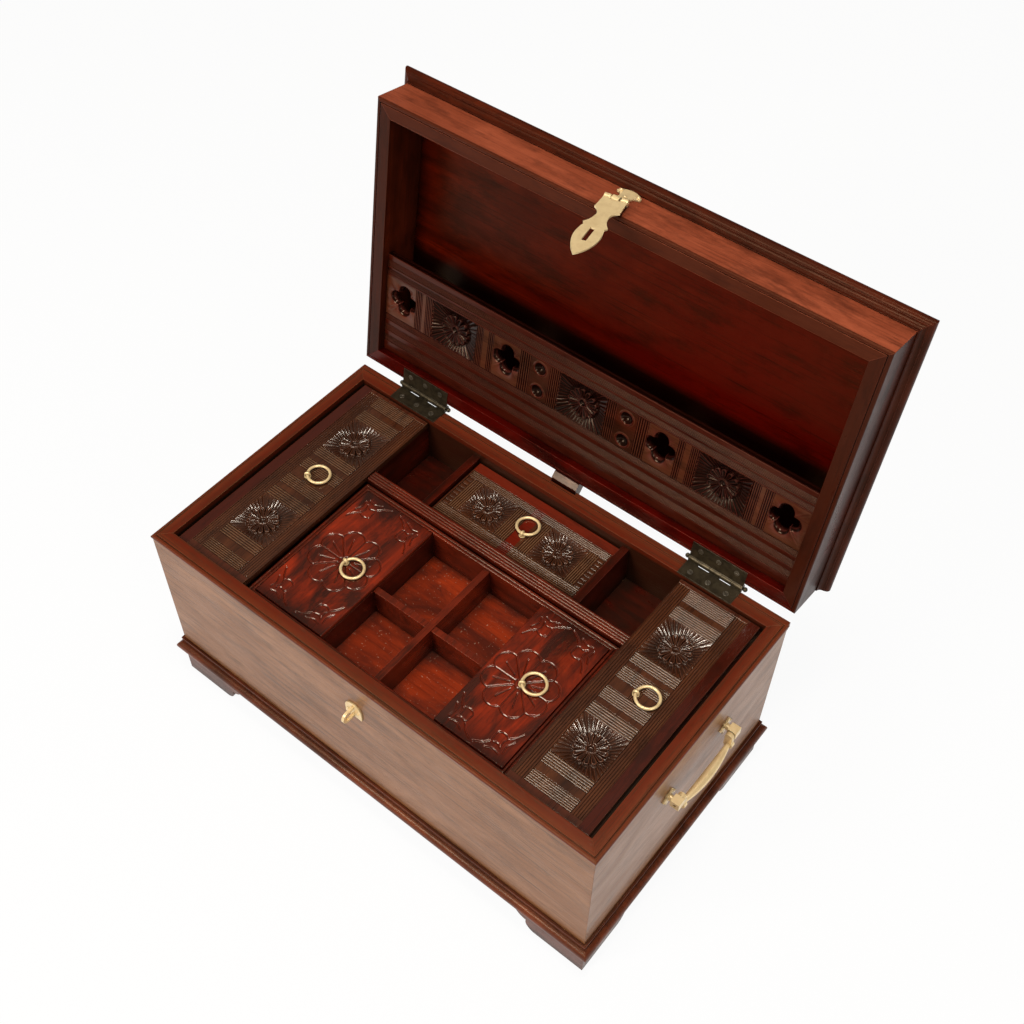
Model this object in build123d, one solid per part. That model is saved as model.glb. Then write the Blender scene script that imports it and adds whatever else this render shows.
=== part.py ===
from build123d import *
from math import asin, cos, degrees, pi, radians, sin
import os

# Wooden storage box with a hinged lid, two carved loose lids, a lift-out tray and brass fittings.
# Origin: centre of the feet's resting plane. X right along the front, Y towards the hinges, Z up.

# Case
case_length = 400.0
case_depth = 224.0
wall = 11.0
rim_height = 176.0
floor_underside = 30.0
floor_thickness = 6.0
bead_out = 0.85

# Base moulding and bracket feet
foot_height = 27.0
moulding_height = 16.0
foot_out = 1.5
foot_thickness = 9.0
foot_arm = 62.0

# Lid, drawn closed and then swung open
lid_gap = 0.94
lid_board = 12.5
lid_height = 42.0
lid_panel = 6.0
lid_moulding_height = 11.0
lid_moulding_out = 7.8
open_angle = 99.35
pocket_front = 6.0
pocket_board = 6.0
pocket_height = 87.5
pocket_motif_line = 66.0
pocket_end_motif = 18.5
pocket_motif_pitch = 100.5
pocket_lobe = 5.0
pocket_lobe_out = 6.1

# Butt hinges
hinge_behind = 5.0
hinge_above = 1.7
hinge_inset = 63.0
hinge_length = 45.0
hinge_knuckles = 5
leaf_width = 16.0
leaf_thickness = 1.32
leaf_let_in = 1.0
hinge_barrel = 2.7
hinge_pin = 1.3
running_fit = 0.06
knuckle_gap = 0.2

# Hasp and staple
hasp_x = -4.5
hasp_barrel_up = 10.2
hasp_barrel_out = 3.5
hasp_barrel = 2.5
hasp_pin_radius = 0.9
hasp_plate_thickness = 1.2
hasp_droop = 1.5
hasp_sway = 14.0
staple_x = -4.0
staple_below_rim = 44.0
staple_radius = 7.4
staple_reach = 12.0
staple_pin_head = 0.9

# Side handles
handle_y = 7.0
handle_half_span = 34.5
handle_below_rim = 42.0
handle_pivot_out = 7.5
cube = 7.0
bail_pin = 1.2

# Lip along the top edge of the back
lip_out = 3.2
lip_height = 7.0
lip_below = 0.7

# Inner layout: widths of the compartments, depths below the rim
long_cell = 68.5
partition = 6.0
long_lid_below = 3.0
long_lid_thickness = 6.0
long_lid_overlap = 1.0
long_lid_end_gap = 3.5
long_lid_corner = 1.5
rail_below = 5.5
rail_thickness = 9.5
rail_reeds = 4
till_depth = 62.0
till_below = 43.0
till_divider = 6.0
till_divider_below = 8.0
till_lid_below = 12.0
till_lid_thickness = 5.0
corner_cell = 47.0
ledge = 8.0
ledge_height = 7.0
small_ledge = 4.0
loose_gap = 1.3

# Stop on the back wall for the open lid
stop_left = -7.7
stop_width = 22.4
stop_out = 12.0
stop_plate = 2.5
stop_below = 18.0
stop_rise = 6.3
stop_step = 7.0

# Lift-out tray
tray_side_gap = 2.0
tray_front_gap = 0.5
tray_back_gap = 0.8
tray_wall = 5.6
tray_below = 9.5
tray_floor = 5.0
tray_lid_below = 9.0
tray_lid_thickness = 4.5
tray_lid_slack = 0.3
tray_left_room = 64.4
tray_right_room = 58.9
tray_divider = 5.0
long_divider_shift = 0.5
cross_divider_shift = -3.1
long_divider_drop = 2.5
cross_divider_drop = 3.5

# Ring pulls
ring_radius = 8.5
ring_wire = 1.1
eye_height = 2.4
eye_radius = 2.4
eye_bore = 1.5
eye_foot = 2.6
eye_shank = 0.9

# Clear distances for cutting tools, larger than any piece that they cut
mitre_out = 30.0
mitre_in = 60.0

half_length = case_length / 2
half_depth = case_depth / 2
floor_top = floor_underside + floor_thickness
inner_x = half_length - wall
inner_y = half_depth - wall
lid_rim = rim_height + lid_gap
lid_top = lid_rim + lid_height
hinge_y = half_depth + hinge_behind
hinge_z = rim_height + hinge_above
hinge_centre = half_length - hinge_inset
hinge_axis = Axis((0, hinge_y, hinge_z), (1, 0, 0))
partition_face = inner_x - long_cell
long_lid_inner = partition_face - long_lid_overlap
long_lid_outer = inner_x - long_lid_end_gap
long_lid_top = rim_height - long_lid_below
long_lid_underside = long_lid_top - long_lid_thickness
rail_back = inner_y - till_depth
rail_front = rail_back - rail_thickness
rail_top = rim_height - rail_below
till_floor_top = rim_height - till_below
till_floor_bottom = till_floor_top - floor_thickness
till_half = partition_face - corner_cell - till_divider
till_divider_top = rim_height - till_divider_below
till_lid_top = rim_height - till_lid_below
till_lid_underside = till_lid_top - till_lid_thickness
tray_half = partition_face - tray_side_gap
tray_front = -inner_y + tray_front_gap
tray_back = rail_front - tray_back_gap
tray_middle = (tray_front + tray_back) / 2
tray_bottom = till_floor_top
tray_top = rim_height - tray_below
tray_floor_top = tray_bottom + tray_floor
tray_in_x = tray_half - tray_wall
tray_in_y = (tray_front + tray_wall, tray_back - tray_wall)
tray_lid_top = rim_height - tray_lid_below
tray_lid_underside = tray_lid_top - tray_lid_thickness
cells_left = -tray_in_x + tray_left_room
cells_right = tray_in_x - tray_right_room
staple_bottom = rim_height - staple_below_rim
handle_z = rim_height - handle_below_rim


def save(name, *solids):
    shape = solids[0] if len(solids) == 1 else Compound(children=list(solids))
    export_step(shape, f"parts/{name}.step")


def block(x, y, z):
    """Box from its two limits along each axis."""
    size = [b - a for a, b in (x, y, z)]
    middle = [(a + b) / 2 for a, b in (x, y, z)]
    return Pos(*middle) * Box(*size)


def opened(shape):
    return shape.rotate(hinge_axis, -open_angle)


def rod(start, length, radius, direction="X"):
    """Round bar from a start point along one axis."""
    turn = {"X": Rot(0, 90, 0), "Y": Rot(-90, 0, 0), "Z": Rot(0, 0, 0)}[direction]
    bar = Cylinder(radius, length, align=(Align.CENTER, Align.CENTER, Align.MIN))
    return Pos(*start) * turn * bar


def edges(*pieces):
    """Closed face from lines and arcs given as point pairs or triples."""
    made = []
    for piece in pieces:
        made.append(Line(*piece) if len(piece) == 2 else ThreePointArc(*piece))
    return make_face(made)


def path(*points):
    """Line pieces through points in order."""
    return [(a, b) for a, b in zip(points, points[1:])]


def strip(section, half_run, face):
    """Strip along the front, mitred at both ends; section is (outwards, up) from the face."""
    profile = Plane(origin=(0, -face, 0), x_dir=(0, -1, 0), z_dir=(-1, 0, 0)) * section
    bar = extrude(profile, amount=half_run + 2 * mitre_out, both=True)
    corners = [
        (-half_run - mitre_out, -face - mitre_out),
        (half_run + mitre_out, -face - mitre_out),
        (half_run - mitre_in, -face + mitre_in),
        (-half_run + mitre_in, -face + mitre_in),
    ]
    return bar & extrude(make_face(Polyline(*corners, close=True)), amount=lid_top + mitre_out)


def four_sides(section, half_x, half_y):
    """The same section as mitred strips on the front, right, back and left."""
    front = strip(section, half_x, half_y)
    side = strip(section, half_y, half_x)
    return {
        "front": front,
        "right": side.rotate(Axis.Z, 90),
        "back": front.rotate(Axis.Z, 180),
        "left": side.rotate(Axis.Z, -90),
    }


# Case boards with a grooved rim and an outer bead

def case_section():
    bead_top, bead_low = rim_height - 0.7, rim_height - 4.1
    groove = [(-1.6, bead_top), (-1.6, rim_height - 1.2), (-2.5, rim_height - 1.2), (-2.5, rim_height)]
    rest = [(-wall, rim_height), (-wall, foot_height), (0, foot_height), (0, bead_low)]
    bead = [((0, bead_low), (bead_out, (bead_low + bead_top) / 2), (0, bead_top))]
    return edges(*bead, *path((0, bead_top), *groove, *rest))


def screw(x, y, z, up=1, head=2.2, shank=1.0, long=9.0):
    """Countersunk screw with its head's face at z, pointing down for up = 1."""
    taper = leaf_thickness
    half = [(0, 0), (head, 0), (shank, -taper), (shank, -long), (0, -long)]
    turned = revolve(Plane.XZ * make_face(Polyline(*half, close=True)), Axis.Z)
    return Pos(x, y, z) * (turned if up == 1 else Rot(180, 0, 0) * turned)


def hinge_places():
    return (-hinge_centre, hinge_centre)


leaf_front = hinge_y - leaf_width
lower_leaf_bottom = rim_height - leaf_let_in
lower_leaf_top = lower_leaf_bottom + leaf_thickness
upper_leaf_top = lid_rim + leaf_let_in
upper_leaf_bottom = upper_leaf_top - leaf_thickness
screw_y = (leaf_front + half_depth) / 2


def hinge_screws(z, up):
    places = [x + step for x in hinge_places() for step in (-15, 0, 15)]
    return [screw(x, screw_y, z, up) for x in places]


def hinge_leaf(centre, bottom, top, owned, bore):
    """Leaf with the knuckles whose numbers are in owned."""
    start = centre - hinge_length / 2
    length = hinge_length / hinge_knuckles
    clear = hinge_y - hinge_barrel - 0.4
    leaf = block((start, start + hinge_length), (leaf_front, clear), (bottom, top))
    for n in owned:
        a = start + n * length + knuckle_gap / 2
        b = a + length - knuckle_gap
        leaf += block((a, b), (clear, hinge_y), (bottom, top))
        leaf += rod((a, hinge_y, hinge_z), b - a, hinge_barrel)
    return leaf - rod((start - 1, hinge_y, hinge_z), hinge_length + 2, bore)


def hinge_pin_piece(centre):
    start = centre - hinge_length / 2
    pin = rod((start - 0.3, hinge_y, hinge_z), hinge_length + 0.6, hinge_pin)
    for x in (start - 1.7, start + hinge_length + 1.7):
        pin += Pos(x, hinge_y, hinge_z) * Sphere(1.8)
    return pin


case_screws = hinge_screws(lower_leaf_top, 1)
lid_screws = hinge_screws(upper_leaf_bottom, -1)


def leaf_seats(bottom, top):
    return [
        block((x - hinge_length / 2, x + hinge_length / 2), (leaf_front, half_depth + 5), (bottom, top))
        for x in hinge_places()
    ]


def cut(shape, tools):
    for tool in tools:
        shape = shape - tool
    return shape


def back_lip():
    """Rail on the back's top edge, with a gap for the lid's stop."""
    y, top = half_depth, rim_height - lip_below
    low = top - lip_height
    side = Polyline(
        (y, top), (y + lip_out - 0.5, top), (y + lip_out, top - 0.5), (y + lip_out, low + 2),
        (y + lip_out - 2, low), (y, low), close=True,
    )
    profile = Plane(origin=(-half_length, 0, 0), x_dir=(0, 1, 0), z_dir=(1, 0, 0)) * make_face(side)
    gap = block((stop_left - 0.3, stop_left + stop_width + 0.3), (y - 3, y + 5), (low - 1, top + 1))
    return extrude(profile, amount=case_length) - gap


def case_boards():
    boards = four_sides(case_section(), half_length, half_depth)
    seats = leaf_seats(lower_leaf_bottom, rim_height + 5)
    lipped = boards["back"] + back_lip()
    boards["back"] = cut(lipped, seats + case_screws)
    boards["front"] = cut(boards["front"], [*staple_pins(), staple_loop()])
    for side, sign in (("right", 1), ("left", -1)):
        boards[side] = cut(boards[side], [post_spigot(sign, y) for y in handle_places()])
    return boards


def base_moulding_section():
    top = foot_height + moulding_height
    nose = [((1.2, foot_height), (6.0, foot_height + 5), (1.2, foot_height + 10))]
    cove = [((0.9, foot_height + 10.8), (1.1, foot_height + 13), (2.0, top - 1.8))]
    return edges(
        ((0, top), (0, foot_height)),
        ((0, foot_height), (1.2, foot_height)),
        *nose,
        ((1.2, foot_height + 10), (0.9, foot_height + 10.8)),
        *cove,
        *path((2.0, top - 1.8), (2.0, top), (0, top)),
    )


def foot_arm_outline(corner):
    """Bracket outline seen from outside, running left from its corner, with a two-lobed edge."""
    a, b, c = corner - 44, corner - 51, corner - foot_arm
    return edges(
        ((corner, 0), (a, 0)),
        ((a, 0), (b + 1, 4.5), (b, 12)),
        ((b, 12), (c + 3, 16), (c, foot_height)),
        *path((c, foot_height), (corner, foot_height), (corner, 0)),
    )


def foot(sign_x, sign_y):
    """Front and side brackets of one corner, mitred together."""
    outer_x, outer_y = half_length + foot_out, half_depth + foot_out
    arms = []
    for run, face in ((outer_x, outer_y), (outer_y, outer_x)):
        flat = Plane(origin=(0, -face, 0), x_dir=(1, 0, 0), z_dir=(0, -1, 0)) * foot_arm_outline(run)
        arm = extrude(flat, amount=-foot_thickness)
        corner, inside = (run, -face), (run - mitre_in, -face + mitre_in)
        far = run - 2 * mitre_in
        mitre = Polyline(corner, inside, (far, -face + mitre_in), (far, -face), close=True)
        arms.append(arm & extrude(make_face(mitre), amount=foot_height))
    front = arms[0]
    side = arms[1].mirror(Plane.YZ).rotate(Axis.Z, 90)
    placed = []
    for arm in (front, side):
        arm = arm if sign_x > 0 else arm.mirror(Plane.YZ)
        placed.append(arm if sign_y < 0 else arm.mirror(Plane.XZ))
    return placed


# Lid boards, panel, top moulding and pierced pocket board

def lid_section():
    top = lid_top - lid_panel
    groove = [(-3.4, lid_rim), (-3.4, lid_rim + 0.8), (-2.6, lid_rim + 0.8), (-2.6, lid_rim)]
    return edges(
        ((0, lid_rim + 1), (-0.3, lid_rim + 0.3), (-1, lid_rim)),
        *path((-1, lid_rim), (-2.6, lid_rim), *reversed(groove[:3]), (-lid_board, lid_rim)),
        *path((-lid_board, lid_rim), (-lid_board, top), (0, top), (0, lid_rim + 1)),
    )


def lid_moulding_section():
    """Cove under a shelf and a round nose."""
    height = lid_moulding_height
    low = lid_top - height
    nose = 0.318 * height
    inner = lid_moulding_out - nose
    shelf = (inner + 0.3, low + height / 3)
    under_nose = lid_top - 2 * nose
    return edges(
        *path((0, lid_top), (0, low), (0.8, low)),
        ((0.8, low), (1.8, low + 0.23 * height), shelf),
        *path(shelf, (inner + 0.3, under_nose - 0.2), (inner, under_nose)),
        ((inner, under_nose), (lid_moulding_out, lid_top - nose), (inner, lid_top)),
        ((inner, lid_top), (0, lid_top)),
    )


def lid_boards():
    boards = four_sides(lid_section(), half_length, half_depth)
    seats = leaf_seats(lid_rim - 5, upper_leaf_top)
    boards["back"] = cut(boards["back"], seats + lid_screws)
    boards["front"] = cut(boards["front"], hasp_plate_pins())
    return boards


def lid_mouldings():
    strips = four_sides(lid_moulding_section(), half_length, half_depth)
    behind = block((-case_length, case_length), (half_depth, case_length), (0, 2 * lid_top))
    return strips["front"], strips["left"] - behind, strips["right"] - behind


def quatrefoil(x, y, low, high):
    """Four-lobed piercing."""
    shape = rod((x, y, low), high - low, pocket_lobe - 0.4, "Z")
    for n in range(4):
        a = n * pi / 2
        lobe = (x + pocket_lobe_out * cos(a), y + pocket_lobe_out * sin(a), low)
        shape += rod(lobe, high - low, pocket_lobe, "Z")
    return shape


def pocket_piece():
    low = lid_rim + pocket_front
    back = half_depth - lid_board
    span = half_length - lid_board
    board = block((-span, span), (back - pocket_height, back), (low, low + pocket_board))
    outer = span - pocket_end_motif
    for x in (outer, outer - pocket_motif_pitch):
        for sign in (-1, 1):
            board -= quatrefoil(sign * x, half_depth - pocket_motif_line, low - 1, low + pocket_board + 1)
    return board


# Hasp on the lid and staple on the case

hasp_y = -half_depth - hasp_barrel_out
hasp_z = lid_rim + hasp_barrel_up
hasp_centre = (hasp_x, hasp_y, hasp_z)


def front_pin(x, z, face, head=1.3, shank=0.6, long=6.0):
    """Domed pin driven into the front, its dome standing on the plate's face."""
    dome = Sphere(head) & Pos(0, 0, head) * Box(3 * head, 3 * head, 2 * head)
    body = dome + Cylinder(shank, long, align=(Align.CENTER, Align.CENTER, Align.MAX))
    return Pos(x, face, z) * Rot(90, 0, 0) * body


def hasp_plate_pins():
    face = -half_depth - hasp_plate_thickness
    places = ((-6.9, 16.3), (6.9, 16.3), (0, 10.2))
    return [front_pin(hasp_x + x, hasp_z + z, face) for x, z in places]


def front_plate(face_outline, thickness, face=-half_depth):
    """Flat plate on the front, outline in (x, z)."""
    flat = Plane(origin=(0, face, 0), x_dir=(1, 0, 0), z_dir=(0, -1, 0)) * face_outline
    return extrude(flat, amount=thickness)


def hasp_plate():
    """Crescent with two horns on a neck, and the middle knuckle."""
    x, z = hasp_x, hasp_z
    outline = edges(
        ((x - 9.2, z + 16), (x, z + 20.6), (x + 9.2, z + 16)),
        ((x + 9.2, z + 16), (x + 8.7, z + 14.2), (x + 6.8, z + 14)),
        ((x + 6.8, z + 14), (x + 4.8, z + 11.6), (x + 4.6, z + 8.5)),
        *path((x + 4.6, z + 8.5), (x + 2.7, z + 3.5), (x + 2.7, z - 1)),
        *path((x + 2.7, z - 1), (x - 2.7, z - 1), (x - 2.7, z + 3.5), (x - 4.6, z + 8.5)),
        ((x - 4.6, z + 8.5), (x - 4.8, z + 11.6), (x - 6.8, z + 14)),
        ((x - 6.8, z + 14), (x - 8.7, z + 14.2), (x - 9.2, z + 16)),
    )
    plate = front_plate(outline, hasp_plate_thickness)
    plate += rod((x - 2.7, hasp_y, z), 5.4, hasp_barrel)
    plate -= rod((x - 3, hasp_y, z), 6, hasp_pin_radius + 0.8)
    return cut(plate, hasp_plate_pins())


def hasp_pin_piece():
    return rod((hasp_x - 8.4, hasp_y, hasp_z), 16.8, hasp_pin_radius)


def strap_half(x, z, side):
    """Half of the strap's outline from shoulder to tip, for side = 1 or -1."""
    def at(across, down):
        return (x + side * across, z - down)
    return [
        (at(8.0, 3), at(8.7, 16.5)),
        (at(8.7, 16.5), at(5.2, 20.5), at(4.5, 26.5)),
        (at(4.5, 26.5), at(5.6, 31.5), at(8.4, 36.5)),
        (at(8.4, 36.5), at(6.9, 39.0)),
        (at(6.9, 39.0), at(8.3, 51.0), at(0, 73.0)),
    ]


def hasp_strap():
    x, z = hasp_x, hasp_z
    outline = edges(*strap_half(x, z, 1), *strap_half(x, z, -1), ((x - 8.0, z - 3), (x + 8.0, z - 3)))
    face = hasp_y - 0.2
    strap = front_plate(outline, 1.2, face)
    strap -= block((x - 1.6, x + 1.6), (face - 3, face + 1), (z - 56.4, z - 40.4))
    for a, b in ((-8.2, -3.6), (3.6, 8.2)):
        strap += block((x + a, x + b), (face - 1.2, face), (z - 4, z))
        strap += rod((x + a, hasp_y, z), b - a, hasp_barrel)
    return strap - rod((x - 9, hasp_y, z), 18, hasp_pin_radius + running_fit)


def hung(shape, droop):
    """Strap or pin turned about the loose hinge to its place on the open lid."""
    turned = shape.rotate(Axis(hasp_centre, (1, 0, 0)), droop)
    return opened(turned.rotate(Axis(hasp_centre, (0, 1, 0)), -hasp_sway))


def staple_pins():
    face = -half_depth - hasp_plate_thickness
    return [front_pin(staple_x + x, staple_bottom + 6.0, face, head=staple_pin_head) for x in (-4.6, 4.6)]


def staple_plate():
    """Half-moon plate with a slit for the loop."""
    x, z, r = staple_x, staple_bottom, staple_radius
    outline = edges(
        ((x - r, z), (x + r, z)),
        ((x + r, z), (x + r, z + 8)),
        ((x + r, z + 8), (x, z + 15.4), (x - r, z + 8)),
        ((x - r, z + 8), (x - r, z)),
    )
    return cut(front_plate(outline, hasp_plate_thickness), [*staple_pins(), staple_loop()])


def staple_loop():
    """Flat loop standing out of the case, set in a slit of the wall."""
    low, high = staple_bottom + 1.0, staple_bottom + 12.0
    out = half_depth + staple_reach
    bar, thick = 2.4, 2.0
    mid = (low + high) / 2
    span = (high - low) / 2
    centre = -out + span
    solid = block((-1, 1), (centre, -half_depth + 4), (low, high)) + rod((-1, centre, mid), 2, span)
    hole = block((-2, 2), (centre, -half_depth - hasp_plate_thickness), (low + bar, high - bar))
    hole += rod((-2, centre, mid), 4, span - bar)
    return Pos(staple_x, 0, 0) * scale(solid - hole, (thick / 2, 1, 1))


# Side handles

def handle_places():
    return (handle_y - handle_half_span, handle_y + handle_half_span)


def post_spigot(sign, y):
    start = half_length - 6 if sign > 0 else -half_length
    return rod((start, y, handle_z), 6, 1.5)


def star(radius, inner, points=6):
    corners = []
    for n in range(2 * points):
        r = inner if n % 2 else radius
        corners.append((r * cos(n * pi / points), r * sin(n * pi / points)))
    return make_face(Polyline(*corners, close=True))


def handle_post(sign, y):
    """Star base, neck and pierced cube, on a spigot in the wall."""
    side = Plane(origin=(half_length, y, handle_z), x_dir=(0, 1, 0), z_dir=(1, 0, 0))
    post = extrude(side * star(7.2, 4.0), amount=1.6)
    post += rod((half_length, y, handle_z), 5, 2.5)
    reach = half_length + handle_pivot_out
    low, high = -cube / 2, cube / 2
    post += block((reach + low, reach + high), (y + low, y + high), (handle_z + low, handle_z + high))
    post = post - rod((reach, y - cube, handle_z), 2 * cube, bail_pin + running_fit, "Y")
    post = post + post_spigot(1, y)
    return post if sign > 0 else post.mirror(Plane.YZ)


def bail(sign):
    """Bowed grip between two oval ears that turn on pins in the cubes."""
    x = half_length + handle_pivot_out
    ear_out = handle_half_span - cube / 2 - 0.4
    ear_in = ear_out - 3.2
    ear_drop = 8.5
    shape = None
    for side in (-1, 1):
        a, b = sorted((handle_y + side * ear_in, handle_y + side * ear_out))
        ear = rod((x, a, handle_z), b - a, 3.0, "Y")
        ear += rod((x + 0.8, a, handle_z - ear_drop), b - a, 3.6, "Y")
        ear += block((x - 2.6, x + 3.2), (a, b), (handle_z - ear_drop, handle_z))
        pin_start = min(handle_y + side * (ear_out - 1), handle_y + side * (handle_half_span + 2.5))
        ear += rod((x, pin_start, handle_z), handle_half_span + 3.5 - ear_out, bail_pin, "Y")
        shape = ear if shape is None else shape + ear
    steps = 8
    sections = []
    for n in range(steps + 1):
        t = 2 * n / steps - 1
        swell = 1 - t * t
        place = (x + 0.8 + 1.8 * swell, handle_y + t * (ear_in + 0.6), handle_z - ear_drop - 1.2 * swell)
        lean = Plane(origin=place, x_dir=(1, 0, 0), z_dir=(0, 1, 0))
        sections.append(lean * Circle(1.7 + 1.8 * swell))
    shape += loft(sections)
    return shape if sign > 0 else shape.mirror(Plane.YZ)


# Inner boards

def reeded_board(x, front, back, bottom, top, reeds):
    """Board whose top edge has rounded reeds running along X."""
    pitch = (back - front) / reeds
    tops = []
    for n in range(reeds):
        a = front + n * pitch
        tops.append(((a, top - pitch / 2), (a + pitch / 2, top), (a + pitch, top - pitch / 2)))
    sides = path((back, top - pitch / 2), (back, bottom), (front, bottom), (front, top - pitch / 2))
    section = Plane(origin=(x[0], 0, 0), x_dir=(0, 1, 0), z_dir=(1, 0, 0)) * edges(*tops, *sides)
    return extrude(section, amount=x[1] - x[0])


def partition_piece(sign):
    x = sorted((sign * partition_face, sign * (partition_face + partition)))
    return block(x, (-inner_y, inner_y), (floor_top, long_lid_underside))


def sided(a, b, sign):
    """Limits along X on one side of the middle."""
    return sorted((sign * a, sign * b))


def ledge_strips():
    """Strips that carry the long lids, the tray and the till lid."""
    made = []
    depth = (-inner_y, inner_y)
    under_long = (long_lid_underside - ledge_height, long_lid_underside)
    under_tray = (tray_bottom - ledge_height, tray_bottom)
    under_till = (till_lid_underside - small_ledge, till_lid_underside)
    for sign in (-1, 1):
        outer = sided(inner_x - ledge, inner_x, sign)
        inner = sided(partition_face - ledge, partition_face, sign)
        middle = sided(till_half - small_ledge, till_half, sign)
        made.append(block(outer, depth, under_long))
        made.append(block(inner, (-inner_y, rail_front), under_tray))
        made.append(block(middle, (rail_back, inner_y), under_till))
    return made


def cross_rail():
    """Reeded rail between the partitions, its top ends cut back beside the long lids."""
    across = (-partition_face, partition_face)
    rail = reeded_board(across, rail_front, rail_back, till_floor_bottom, rail_top, rail_reeds)
    for sign in (-1, 1):
        ends = sided(long_lid_inner - 0.5, partition_face + 1, sign)
        rail -= block(ends, (rail_front - 1, rail_back + 1), (long_lid_underside, rim_height))
    return rail


def till_floor():
    across = (-partition_face, partition_face)
    return block(across, (rail_back, inner_y), (till_floor_bottom, till_floor_top))


def till_dividers():
    depth, height = (rail_back, inner_y), (till_floor_top, till_divider_top)
    return [block(sided(till_half, till_half + till_divider, sign), depth, height) for sign in (-1, 1)]


def lid_stop():
    """Casting on the back wall whose sloped top face stops the open lid."""
    y, z = half_depth, rim_height
    fall = sin(radians(open_angle - 90))
    shoulder = z - stop_step * fall + stop_rise
    clear_of_bead = (y + 1.2, z - 4.6)
    side = Polyline(
        (y, z - stop_below), (y, z - 4.6), clear_of_bead, (y + 1.2, z + 2.4), (hinge_y, z + stop_rise),
        (y + stop_out, shoulder), (y + stop_out, z), (y + stop_plate, z - 10),
        (y + stop_plate, z - stop_below), close=True,
    )
    profile = Plane(origin=(stop_left, 0, 0), x_dir=(0, 1, 0), z_dir=(1, 0, 0)) * make_face(side)
    return extrude(profile, amount=stop_width)


def long_lid(sign):
    x = sided(long_lid_inner, long_lid_outer, sign)
    lid = block(x, (-inner_y + loose_gap, inner_y - loose_gap), (long_lid_underside, long_lid_top))
    return fillet(lid.edges().filter_by(Axis.Z), long_lid_corner)


def till_lid():
    span = till_half - loose_gap
    depth = (rail_back + loose_gap, inner_y - loose_gap)
    return block((-span, span), depth, (till_lid_underside, till_lid_top))


# Tray

def tray_walls():
    """Four mitred walls with two beads along the top."""
    pitch = tray_wall / 2
    shoulder = tray_top - pitch / 2
    beads = []
    for n in (0, 1):
        out, middle, back = -n * pitch, -(n + 0.5) * pitch, -(n + 1) * pitch
        beads.append(((out, shoulder), (middle, tray_top), (back, shoulder)))
    sides = path((-tray_wall, shoulder), (-tray_wall, tray_bottom), (0, tray_bottom), (0, shoulder))
    walls = four_sides(edges(*beads, *sides), tray_half, (tray_back - tray_front) / 2)
    return [Pos(0, tray_middle, 0) * walls[side] for side in ("front", "right", "back", "left")]


def tray_floor_piece():
    return block((-tray_in_x, tray_in_x), tray_in_y, (tray_bottom, tray_floor_top))


def tray_partitions():
    """Walls under the inner edges of the tray's lids."""
    height = (tray_floor_top, tray_lid_underside)
    spans = ((cells_left - tray_divider, cells_left), (cells_right, cells_right + tray_divider))
    return [block(span, tray_in_y, height) for span in spans]


def tray_dividers():
    """One long divider and two short ones that make four cells."""
    middle = (cells_left + cells_right) / 2 + long_divider_shift
    left, right = middle - tray_divider / 2, middle + tray_divider / 2
    cross_middle = tray_middle + cross_divider_shift
    cross = (cross_middle - tray_divider / 2, cross_middle + tray_divider / 2)
    cross_height = (tray_floor_top, tray_top - cross_divider_drop)
    return [
        block((left, right), tray_in_y, (tray_floor_top, tray_top - long_divider_drop)),
        block((cells_left, left), cross, cross_height),
        block((right, cells_right), cross, cross_height),
    ]


def tray_ledges():
    height = (tray_lid_underside - small_ledge, tray_lid_underside)
    return [block(sided(tray_in_x - small_ledge, tray_in_x, s), tray_in_y, height) for s in (-1, 1)]


def tray_lid_span(side):
    """Limits along X of the left or right tray lid, for side = -1 or 1."""
    inner = cells_left - tray_lid_slack if side < 0 else cells_right + tray_lid_slack
    return sorted((inner, side * (tray_in_x - tray_lid_slack)))


def tray_lid(side):
    depth = (tray_in_y[0] + tray_lid_slack, tray_in_y[1] - tray_lid_slack)
    return block(tray_lid_span(side), depth, (tray_lid_underside, tray_lid_top))


# Ring pulls: the eye's place, the height it stands on, and the way its ring lies

long_lid_middle = (long_lid_inner + long_lid_outer) / 2
till_middle = (rail_back + inner_y) / 2
tray_left_middle = sum(tray_lid_span(-1)) / 2
tray_right_middle = sum(tray_lid_span(1)) / 2
ring_places = {
    "long_left": (-long_lid_middle - 1.1, 1.1, long_lid_top, 40),
    "long_right": (long_lid_middle - 3.1, 1.6, long_lid_top, 12),
    "till": (3.0, till_middle - 5.5, till_lid_top, 98),
    "tray_left": (tray_left_middle + 1.9, tray_middle - 1.6, tray_lid_top, -11),
    "tray_right": (tray_right_middle + 0.25, tray_middle - 1.6, tray_lid_top, 35),
}
ring_tilt = degrees(asin((eye_height - ring_wire - 0.2) / (2 * ring_radius)))


def ring(x, y, z, way):
    hoop = Pos(ring_radius, 0, 0) * Torus(ring_radius, ring_wire)
    return Pos(x, y, z + eye_height) * Rot(0, 0, way) * Rot(0, ring_tilt, 0) * hoop


def eye_shape(x, y, z, way):
    """Flattened ball with a bore, on a round foot, with a shank let into the lid."""
    eye = scale(Sphere(eye_radius), (1.0, 0.62, 1.0))
    eye += rod((0, 0, -eye_height), 0.7, eye_foot, "Z") + rod((0, 0, -eye_height - 3), 3, eye_shank, "Z")
    eye -= rod((0, -eye_foot - 1, 0), 2 * eye_foot + 2, eye_bore, "Y")
    return Pos(x, y, z + eye_height) * Rot(0, 0, way) * eye


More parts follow.
